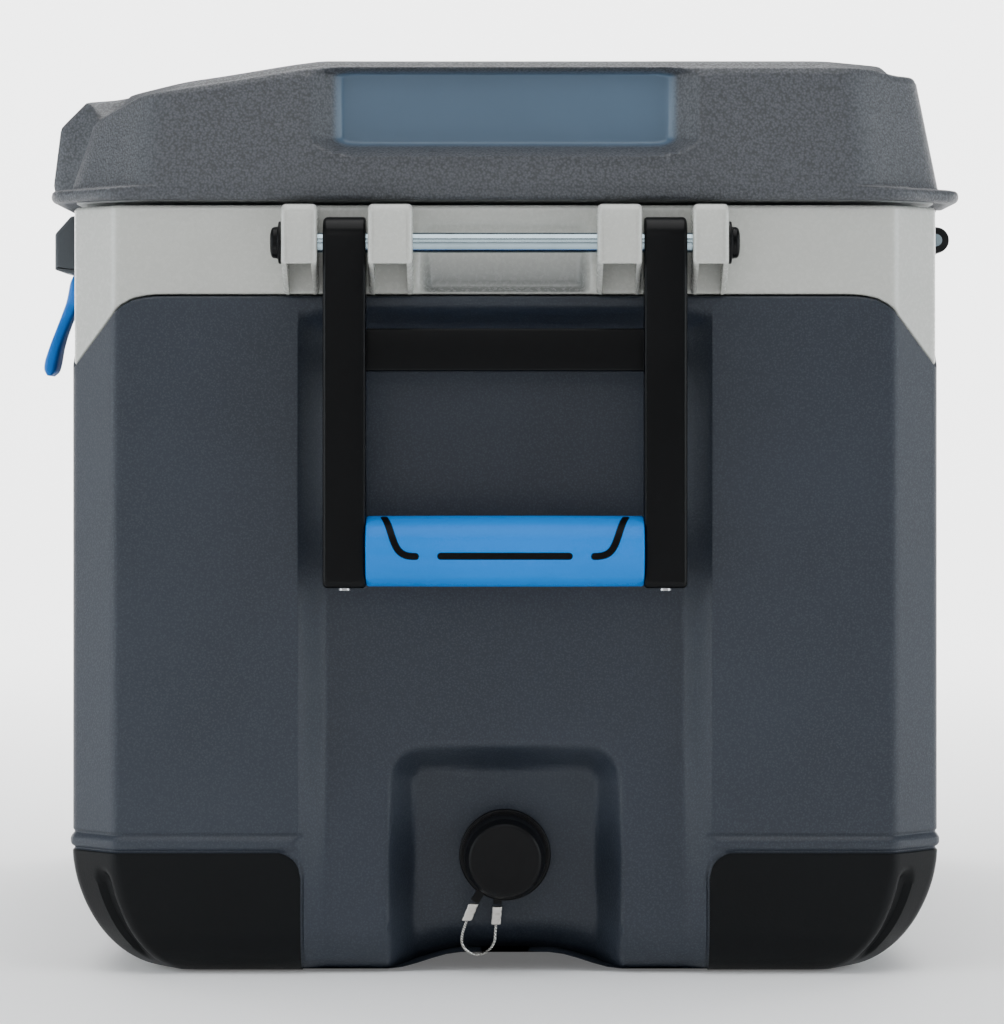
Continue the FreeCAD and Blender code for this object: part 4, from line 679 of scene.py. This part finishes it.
def make_lid():
    """The lid: rows up the rounded flange, the leaning wall with its end recesses, brow and notches, over
    the rounded edge, and across the raised panel to the middle line. Marks are 0 on the recess floors."""
    counts = dict(ys=np.r_[0:70:9j, 74:93:20j, 97, 108], tail=(12, 2),
                  xs=np.r_[0:150:9j, 157:179:23j, 183:205:4j, 208:214:7j, 222:240:4j, 244:256:13j])
    edge, edge_r, flange_r = LID_TOP - LID_EDGE, 3.2, 2.9

    def level(half_x, half_y, cut):
        return outline_ring(half_x, half_y, cut, 22.0, **counts)

    flange, normal = level(LID_X, FLANGE_Y, FLANGE_CUT)
    base, base_normal = level(LID_X, LID_Y, LID_CUT)
    front = base_normal[:, 1] < -0.7
    brow = (1 - smooth(np.abs(base[:, 0]), *BROW)) * front
    rows = []

    def row(plan, z):
        rows.append(np.column_stack([plan, np.broadcast_to(z, len(plan))]))

    for part in np.linspace(0, 1, 6)[:-1]:
        row(flange * (0.93, part * 0.93), LID_LOW + 2.4)
    row(flange * 0.93, LID_LOW + 2.4)
    row(flange - normal * 6, LID_LOW)
    for turn in np.linspace(0, math.pi / 2, 7):
        row(flange - normal * flange_r * (1 - math.sin(turn)), LID_LOW + flange_r * (1 - math.cos(turn)))
    for share, up in ((0.0, 3.6), (0.03, 5.0), (0.12, 5.9), (0.3, 6.3), (0.6, 6.45), (0.85, 6.7),
                      (0.96, 6.95)):
        row(flange * (1 - share) + base * share, LID_LOW + up)
    heights = np.unique(np.r_[FLANGE_TOP + 1:379:3j, 380:382:4j, 384, 387:398:10j, 401:405:3j, 410:422:4j,
                              424:edge - edge_r:6j])
    for z in heights:
        lean = LID_LEAN * (z - FLANGE_TOP)
        plan, _ = level(LID_X - lean, LID_Y - lean, LID_CUT - 0.586 * lean)
        row(plan, z)
    top_plan = plan
    for turn in np.linspace(0, math.pi / 2, 7)[1:]:
        row(top_plan - base_normal * (0.5 + 2.7 * (1 - math.cos(turn))),
            edge - edge_r + edge_r * math.sin(turn))
    points = np.array(rows)
    wall_x, wall_y, wall_z = (points[..., k].copy() for k in range(3))
    height = edge_height(base[:, 0], top_plan[:, 1], brow)
    above = np.clip((wall_z - FLANGE_TOP) / (edge - FLANGE_TOP), 0, 1)
    is_wall = wall_z > FLANGE_TOP - 0.01
    wall_z = np.where(is_wall, FLANGE_TOP + (height - FLANGE_TOP) * above, wall_z)
    brow_share = brow * (points[..., 2] > 371.5)
    brow_y = np.interp(points[..., 2], [371, 377, 403, 406.5, edge], [-218.4, -219.5, -216.2, -215, -203.8])
    brow_z = np.interp(points[..., 2], [371, FLANGE_TOP, 405, edge], [371, FLANGE_TOP, 405, 416.9])
    wall_y = wall_y + (brow_y - wall_y) * brow_share
    wall_z = wall_z + (brow_z - wall_z) * brow_share
    at_latch = (1 - smooth(np.abs(np.abs(wall_x) - LATCH_X), 7.6, 8.8)) * (1 - smooth(wall_z, 380.2, 381.8))
    at_hinge = (1 - smooth(np.abs(np.abs(wall_x) - HINGE_X), 20.4, 21.4)) * (wall_z < FLANGE_TOP + 0.2)
    wall_y = wall_y + np.maximum(-206.4 - wall_y, 0) * at_latch
    wall_y = wall_y + np.minimum(206.5 - wall_y, 0) * at_hinge
    ends = np.abs(base_normal[:, 0]) > 0.99
    sill, head = (394.5 - wall_z) * 13 / 6, (wall_z - 427.2) * 13 / 3.0
    to_floor = rounded_distance(np.abs(wall_y) - 77, np.maximum(sill, head), 6)
    recess = (1 - ramp(to_floor, 0, 15)) * ends * is_wall
    floor_x = 292 - 0.06 * (wall_z - 410)
    wall_x = wall_x + np.sign(wall_x) * (floor_x - np.abs(wall_x)) * recess
    ridge = 1.0 * (1 - smooth(np.abs(to_floor - 16), 0, 3)) * ends * is_wall * (wall_z < 426)
    wall_x = wall_x + np.sign(wall_x) * ridge
    body = np.stack([wall_x, wall_y, wall_z], -1)
    marks = [1 - smooth(recess, 0.62, 0.95)]
    last = body[-1]
    cover = []
    for in_by, rise in ((2, 0.1), (5, 0.15), (7.5, 0.25), (9, 0.8), (10, 1.6), (12.4, 3.2), (13.4, 3.75),
                        (15, LID_EDGE), (18, LID_EDGE)):
        plan = last[:, :2] * (1 - in_by / np.array([298.0, 197.0]))
        low_edge = edge_height(plan[:, 0], plan[:, 1], brow)
        lift = (panel_height(plan[:, 1]) - low_edge) * rise / LID_EDGE
        cover.append(np.column_stack([plan, low_edge + lift]))
    rim = cover[-1][:, :2]
    for part in np.linspace(1, 0, 15)[1:]:
        plan = np.column_stack([rim[:, 0], rim[:, 1] * part])
        cover.append(np.column_stack([plan, panel_height(plan[:, 1])]))
    cover = np.array(cover)
    marks.append(np.ones(cover.shape[:2]))
    return grid(np.concatenate([body, cover]), caps=False), np.concatenate(marks)


# --- handles, drain and tether ---
def make_arm():
    """One arm of the handle: rounded over the rod, bevelled at its foot."""
    side = rounded_outline([(312, 184.0), (332, 184.0), (332, 357.8), (312, 357.8)], [3.5, 3.5, 9.5, 9.5], 8)
    return slab(side, 1, ARM[0], ARM[1], (1.3, 2.2), 5)


def make_crossbar():
    """The bar between the arms, a little rounded along its edges."""
    return slab(rounded_outline([(312, 285.5), (320, 285.5), (320, 305.7), (312, 305.7)], 1.4, 4), 1,
                -ARM[0] - 1.5, ARM[0] + 1.5, (0, 0))


def make_grip():
    """The grip: a barrel whose ends are turned in, swelling a hair at the middle."""
    y = np.linspace(-63.9, 63.9, 40)
    barrel = np.column_stack([y, GRIP_R - 0.12 * (y / 64) ** 2])
    ends = [(-65, 6.2), (-65, GRIP_R - 1.2), (-64.7, GRIP_R - 0.5)]
    return lathe(np.concatenate([ends, barrel, [(-a, r) for a, r in ends[::-1]]]), (ROD_X, 0, GRIP_Z), 1, 96)


def make_inlay(line, half_width=1.65):
    """A strip let into the grip along a line of (y, arc length): a loop across the strip, narrowed to
    half circles at its ends, wrapped round the barrel by angle = arc length / radius."""
    line = np.asarray(line, float)
    step = np.gradient(line, axis=0)
    step /= np.linalg.norm(step, axis=1, keepdims=True)
    across = np.stack([-step[:, 1], step[:, 0]], -1)
    run = np.concatenate([[0], np.cumsum(np.linalg.norm(np.diff(line, axis=0), axis=1))])
    to_end = np.minimum(run, run[-1] - run)
    width = np.sqrt(np.maximum(half_width ** 2 - np.maximum(half_width - to_end, 0) ** 2, 0.0025))
    share = np.concatenate([np.linspace(-1, 1, 7), np.linspace(1, -1, 7)])
    radius = np.repeat([GRIP_R + 0.07, GRIP_R - 0.8], 7)
    flat = line[:, None] + across[:, None] * (share * width[:, None])[..., None]
    angle = flat[..., 1] / GRIP_R
    points = np.stack([ROD_X + radius * np.cos(angle), flat[..., 0], GRIP_Z + radius * np.sin(angle)], -1)
    return grid(points)


def inlay_lines():
    """The straight line and the two that curl up to the grip's upper edge, on quadratic curves."""
    low = GRIP_R * math.asin(-1.9 / GRIP_R)
    near = 1.65 * (1 - np.cos(np.linspace(0, math.pi / 2, 7)))
    straight = np.r_[-31.5 + near, -29:29:12j, (31.5 - near)[::-1]]
    t = np.r_[0:0.06:8j, 0.1:0.94:16j, 0.95:1:6j][:, None]
    ends = np.array([(40.0, low), (52.5, low - 1.0), (51.0, low + 6), (57.0, GRIP_R * 1.35)])
    curl = ((1 - t) ** 3 * ends[0] + 3 * t * (1 - t) ** 2 * ends[1] + 3 * t * t * (1 - t) * ends[2]
            + t ** 3 * ends[3])
    return [np.column_stack([straight, np.full(len(straight), low)]), curl, curl * (-1, 1)]


def make_rod():
    """A steel rod between its two end caps."""
    return lathe([(y, ROD_R) for y in (-ROD_END, -60, 0, 60, ROD_END)], (ROD_X, 0, ROD_Z), 1, 64)


def make_button():
    """A cap on the rod's end: a plain drum with a shouldered, rounded face."""
    button = rounded_outline([(104.4, 0), (104.4, 10), (106.1, 10), (106.4, 7.6), (109.3, 7.2), (110, 4.6),
                              (110, 0)], [0, 0.4, 0.6, 0.4, 1.6, 1.2, 0], 5)
    return lathe(button, (ROD_X, 0, ROD_Z), 1, 64)


def make_drain_cap():
    """The drain cap: bore, rim, neck, and a nose that tapers to a rounded face."""
    cap = rounded_outline([(303, 0), (303, 13.2), (288.4, 13.2), (288.4, 21.8), (292.4, 21.8), (292.4, 17.0),
                           (294.9, 17.0), (294.9, 19.6), (312, 18.9), (318.9, 16.9), (318.2, 9), (318.2, 0)],
                          [0, 0, 0.5, 1.2, 1.2, 0.3, 0.3, 1.4, 8, 2.2, 20, 0], 7)
    return lathe(cap, (0, 0, DRAIN_Z), 0, 120)


def route_of_tether():
    """The tether's own points, from the lug on the spout round under the cap to the lug on its ring."""
    return np.array([(0.2932, -0.01105, 0.0255), (0.2932, -0.01345, 0.0196), (0.2920, -0.01405, 0.0129),
                     (0.2905, -0.00935, 0.0082), (0.2886, -0.00275, 0.0082), (0.2869, 0.00195, 0.0129),
                     (0.2853, 0.00215, 0.0179), (0.2853, 0.00255, 0.0228)])


def line_of_tether():
    """Points along the smooth spline that has the route's points as its control points."""
    route = route_of_tether()
    curve = bpy.data.curves.new("tether_line", "CURVE")
    curve.dimensions = "3D"
    curve.resolution_u = 16
    spline = curve.splines.new("NURBS")
    spline.points.add(len(route) - 1)
    spline.points.foreach_set("co", np.column_stack([route, np.ones(len(route))]).ravel())
    spline.order_u = 3
    spline.use_endpoint_u = True
    carrier = bpy.data.objects.new("tether_line", curve)
    mesh = bpy.data.meshes.new_from_object(carrier)
    points = np.empty(3 * len(mesh.vertices))
    mesh.vertices.foreach_get("co", points)
    bpy.data.objects.remove(carrier)
    bpy.data.meshes.remove(mesh)
    bpy.data.curves.remove(curve)
    return points.reshape(-1, 3)


def from_row(points):
    """Points of the row frame, in metres, as millimetres about the chest's centre line."""
    return np.asarray(points) / MM - (0, CENTRE_Y / MM, 0)


def make_tether(line):
    """The cable: six strands seen as lobes, radius 0.7 (0.86 + 0.14 |cos 3a|), that wind once in 9 mm."""
    fine = np.linspace(0, 1, 4 * len(line))
    run = np.concatenate([[0], np.cumsum(np.linalg.norm(np.diff(line, axis=0), axis=1))]) / MM
    line = from_row(np.stack([np.interp(fine * run[-1], run, line[:, k]) for k in range(3)], -1))
    step = np.gradient(line, axis=0)
    step /= np.linalg.norm(step, axis=1, keepdims=True)
    side = np.cross(step, (1.0, 0, 0))
    side /= np.linalg.norm(side, axis=1, keepdims=True)
    up = np.cross(step, side)
    angle = np.arange(36) * math.pi / 18
    twist = (fine * run[-1] / 9.0 * 2 * math.pi)[:, None]
    radius = 0.7 * (0.86 + 0.14 * np.abs(np.cos(3 * (angle - twist))))
    return grid(line[:, None] + side[:, None] * (radius * np.cos(angle))[..., None]
                + up[:, None] * (radius * np.sin(angle))[..., None])


def make_ferrule(end, towards):
    """A crimped sleeve: a bar of rounded section, pinched at its two crimps by 6 % of its width and 16 %
    of its thickness."""
    end, towards = from_row(end), from_row(towards)
    step = (towards - end) / np.linalg.norm(towards - end)

    def pinch(along, place):
        crimp = np.exp(-((along - 3.0) / 0.8) ** 2) + np.exp(-((along - 6.0) / 0.8) ** 2)
        return place * (1 - crimp[..., None] * (0.06, 0.16))

    across = (0, 1, 0.001) if abs(step[1]) < 0.7 else (0, 0, 1)
    return bar(end - step * 1.0, end + step * 8.0, across, 5.0, 2.6, 1.0, 0.6, 26, pinch)


# --- insulation, latches and keepers ---
def block(*sizes, end_y=100):
    """A plain level outline of a foam block."""
    return outline_ring(*sizes, 8, ys=np.r_[0:end_y:3j], xs=np.r_[0:150:3j], tail=(2, 2))[0]


def stacked(rows, closed):
    """A grid of level outlines, each at its height; a closed one has no end faces."""
    return grid(np.array([np.column_stack([plan, np.full(len(plan), z)]) for plan, z in rows]),
                caps=not closed)


def make_chest_foam():
    """The insulation between shell and liner: a ring of closed section round the cavity."""
    outer, inner, low, high = block(HALF_LENGTH - 33, HALF_DEPTH - 14, 20), block(254, 170, 12), 44, 286
    return stacked([(outer, low), (outer, high), (inner, high), (inner, low), (outer, low)], True)


def make_lid_foam():
    """The insulation in the lid: a flat block."""
    plan = block(285, 180, 36, end_y=90)
    return stacked([(plan, 371), (plan, 386)], False)


def make_latch():
    """A rubber latch of the drain end: rounded sections strung down a line of (y, z) from the eye on its
    pin, past the strap, to the knob that hooks under the keeper and the pull tab that stands off."""
    y, z, thick, wide = np.array([
        (212, 377, 0.8, 5.5), (212, 375.8, 3.4, 6.6), (212, 372, 4.9, 7), (211.8, 368, 4.4, 7),
        (211.3, 364, 2.7, 7), (211, 350, 2.5, 7), (211.3, 340, 2.6, 7.2), (212.2, 336.6, 3.4, 11),
        (213, 334.4, 4.5, 16.5), (214, 330, 5.1, 18), (215.4, 326.5, 4.4, 16.6), (218, 321, 3.3, 10.5),
        (221, 314, 3.0, 8.6), (224, 306, 3.0, 10.5), (226, 300, 3.1, 13.5), (228, 292, 3.7, 15),
        (229, 287, 3.3, 14.4), (229.3, 285.2, 1.0, 12)]).T
    run = np.r_[0, np.cumsum(np.hypot(np.diff(y), np.diff(z)))]
    at = np.linspace(0, run[-1], 140)
    blur = np.hanning(11) / np.hanning(11).sum()

    def eased(values):
        line = np.interp(at, run, values)
        return np.convolve(np.pad(line, 5, "reflect", reflect_type="odd"), blur, "valid")

    y, z, thick, wide = -eased(y), eased(z), np.maximum(eased(thick), 0.3), np.maximum(eased(wide), 1)
    slope = np.stack([np.gradient(y), np.gradient(z)], -1)
    slope /= np.linalg.norm(slope, axis=1, keepdims=True)
    angle = np.arange(48) * math.pi / 24
    across, out = (np.sign(v) * np.abs(v) ** 0.5 for v in (np.cos(angle), np.sin(angle)))
    depth = out * thick[:, None]
    return grid(np.stack([LATCH_X + across * wide[:, None], y[:, None] - slope[:, 1:] * depth,
                          z[:, None] + slope[:, :1] * depth], -1))


def make_keeper():
    """The keeper of the drain end's latch: a base plate and two prongs, chamfered above, whose under face
    is an arc about the latch pin."""
    arc_y = np.linspace(-207, -225, 14)
    arc_z = LATCH_Z - np.sqrt(KEEPER_REACH ** 2 - (arc_y - LATCH_Y) ** 2)
    corners = np.concatenate([[(-207, 365), (-217, 365), (-225, 356)], np.column_stack([arc_y, arc_z])[::-1]])
    side = rounded_outline(corners, [0, 2.5, 2.5, 0.8] + [0] * 13)
    back = rounded_outline([(-206.7, 336.5), (-206.7, 365), (-209.1, 365), (-209.1, 336.5)], [0, 0, 1, 1])
    return [slab(side, 0, LATCH_X - 22.5, LATCH_X - 8.2, (1.6, 1.2)),
            slab(side, 0, LATCH_X + 8.2, LATCH_X + 22.5, (1.2, 1.6)),
            slab(back, 0, LATCH_X - 21.5, LATCH_X + 21.5, (0.5, 0.5))]


def make_keeper_screws():
    """The two screw heads in the prongs of the drain end's keeper."""
    head = rounded_outline([(-225.3, 0), (-225.3, 1.6), (-225.1, 3.2), (-222, 3.2), (-222, 0)],
                           [0, 0.1, 0.2, 0, 0])
    return [lathe(head, (LATCH_X + off, 0, 350.5), 1, 32) for off in (-15, 15)]


# --- the pieces on their bodies ---
piece("chest_foam", [make_chest_foam()], "tub", "foam", "insulation_foam")
piece("lid_foam_block", [make_lid_foam()], "lid", "foam", "lid_foam")
piece("chest_shell", [make_shell()], "tub", "shell", "outer_shell", 50)
ears = [s for span in ((43.2, 64.0), (87.8, 104.5)) for s in make_ear(*span)]
ears += [mirrored(s, 1) for s in ears]
ears += [turned(s) for s in ears]
collar_ring, collar_marks = make_collar()
collar_marks = np.concatenate([collar_marks.ravel()] + [np.zeros(len(s[0])) for s in ears])
piece("chest_collar", [collar_ring] + ears, "tub", "collar", "collar", 45, collar_marks)
foot = make_foot()
for name, shape in (("drain_rear", foot), ("drain_front", mirrored(foot, 1)),
                    ("far_rear", mirrored(foot, 0)), ("far_front", turned(foot))):
    piece("corner_foot_" + name, [shape], "tub", "foot", "foot_" + name)
lid_shape, lid_marks = make_lid()
piece("lid_cover", [lid_shape], "lid", "lid", "lid_shell", 50, lid_marks)

for end, place in (("drain_end", lambda s: s), ("far_end", turned)):
    def handle_piece(name, shapes, body, slot, node, sharp=40):
        """A piece of this end's handle from shapes of the drain end's."""
        piece(name + "_" + end, [place(s) for s in shapes], body, slot, node + "_" + end, sharp)

    swing = "handle_" + end
    handle_piece("bail_frame", [make_arm(), mirrored(make_arm(), 1), make_crossbar()], swing, "handle_black",
                 "handle_frame")
    handle_piece("bail_grip", [make_grip()], swing, "grip_blue", "handle_grip")
    handle_piece("bail_inlays", [make_inlay(line) for line in inlay_lines()], swing, "inlay", "grip_inlays", 60)
    handle_piece("bail_rod", [make_rod()], "tub", "rod_steel", "handle_rod")
    handle_piece("rod_buttons", [make_button(), mirrored(make_button(), 1)], "tub", "handle_black",
                 "rod_end_caps")

for end, place in (("drain_end", lambda s: s), ("far_end", lambda s: mirrored(s, 0))):
    piece("rubber_latch_" + end, [place(make_latch())], "latch_" + end, "latch_rubber", "latch_" + end, 60)
    piece("keeper_block_" + end, [place(s) for s in make_keeper()], "tub", "keeper", "latch_keeper_" + end, 35)
heads = make_keeper_screws()
piece("keeper_screw_heads", heads + [mirrored(s, 0) for s in heads], "tub", "screw_steel", "keeper_screws", 35)
piece("drain_plug", [make_drain_cap()], "drain_cap", "drain_black", "drain_cap", 35)
tether_run = line_of_tether()
route = route_of_tether()
cable = piece("tether_wire", [make_tether(tether_run)], None, "wire", "tether_cable", 70)
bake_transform(cable)
ring_sleeve = piece("tether_sleeve_ring", [make_ferrule(route[0], route[0] * 2 - route[1])], "tether_ring",
                    "crimp", "ferrule_cap_end")
spout_sleeve = piece("tether_sleeve_spout", [make_ferrule(route[-1], route[-1] * 2 - route[-2])], "tub",
                     "crimp", "ferrule_spout_end")

# Every CAD node that is kept takes its slot's finish.
for part in frame["record"]["subparts"]:
    mesh = frame["nodes"][part["node"]].data
    mesh.materials.clear()
    mesh.materials.append(FINISHES[part["material_slot"]])


# --- floor, light and camera ---
def make_stage():
    """A pale round floor, flat to 3.4 m, that curls up all round in a quarter circle of radius 1.5 m."""
    turn, flat, r = np.linspace(0, math.pi / 2, 20), 3400, 1500
    line = np.concatenate([[(0, 0), (0, r)], np.stack([r - r * np.cos(turn), flat + r * np.sin(turn)], -1)])
    places, faces = lathe(line, (0, 0, 0), 2, 96)
    mesh = bpy.data.meshes.new("studio_floor")
    mesh.from_pydata((places * MM).tolist(), [], [f[::-1] for f in faces[:-1]])
    mesh.shade_smooth()
    f = Finish("studio_floor", 0.7, (0.9, 0.9, 0.9), Emission_Strength=0.12)
    f.set("Base Color", f.mix(f.noise(1.2, 2.0), (0.92, 0.92, 0.92), (0.95, 0.95, 0.95)))
    f.set("Emission Color", (1.0, 1.0, 1.0))
    mesh.materials.append(f.material)
    floor = bpy.data.objects.new("studio_floor", mesh)
    bpy.context.scene.collection.objects.link(floor)


def lamp(name, place, target, size, watts, colour=(1, 1, 1)):
    """A soft area lamp that looks from its place at the target."""
    light = bpy.data.lights.new(name, "AREA")
    light.shape, light.size, light.size_y = "RECTANGLE", size[0], size[1]
    light.energy, light.color = watts, colour
    thing = bpy.data.objects.new(name, light)
    thing.location = place
    thing.rotation_euler = (Vector(target) - Vector(place)).to_track_quat("-Z", "Y").to_euler()
    bpy.context.scene.collection.objects.link(thing)


make_stage()
lamp("overhead_softbox", (0.5, 0.0, 2.3), (0.1, 0, 0.2), (2.2, 2.6), 52)
lamp("front_softbox", (2.6, -0.5, 1.3), (0.3, 0, 0.2), (1.6, 1.2), 9)
lamp("latch_side_softbox", (0.9, -2.0, 0.7), (0.1, -0.1, 0.25), (1.4, 1.4), 22, (0.86, 0.94, 1.0))
lamp("hinge_side_softbox", (0.9, 2.0, 0.7), (0.1, 0.1, 0.25), (1.4, 1.4), 22, (0.86, 0.94, 1.0))
lamp("backdrop_softbox", (-2.0, 0.0, 3.4), (-4.6, 0, 0.6), (5.0, 1.0), 620)
world = bpy.data.worlds.new("studio")
bpy.context.scene.world = world
world.use_nodes = True
world.node_tree.nodes["Background"].inputs[0].default_value = (0.95, 0.97, 1.0, 1)
world.node_tree.nodes["Background"].inputs[1].default_value = 0.16

camera = bpy.data.objects.new("camera", bpy.data.cameras.new("camera"))
camera.data.lens = 148.8
camera.data.sensor_width = 36.0
camera.data.shift_x = -0.0029296875
camera.data.shift_y = -0.080078125
camera.data.clip_end = 50
camera.location = (HALF_LENGTH * MM + 2.0, CENTRE_Y, 0.258)
camera.rotation_euler = (math.pi / 2, 0, math.pi / 2)
bpy.context.scene.collection.objects.link(camera)
bpy.context.scene.camera = camera
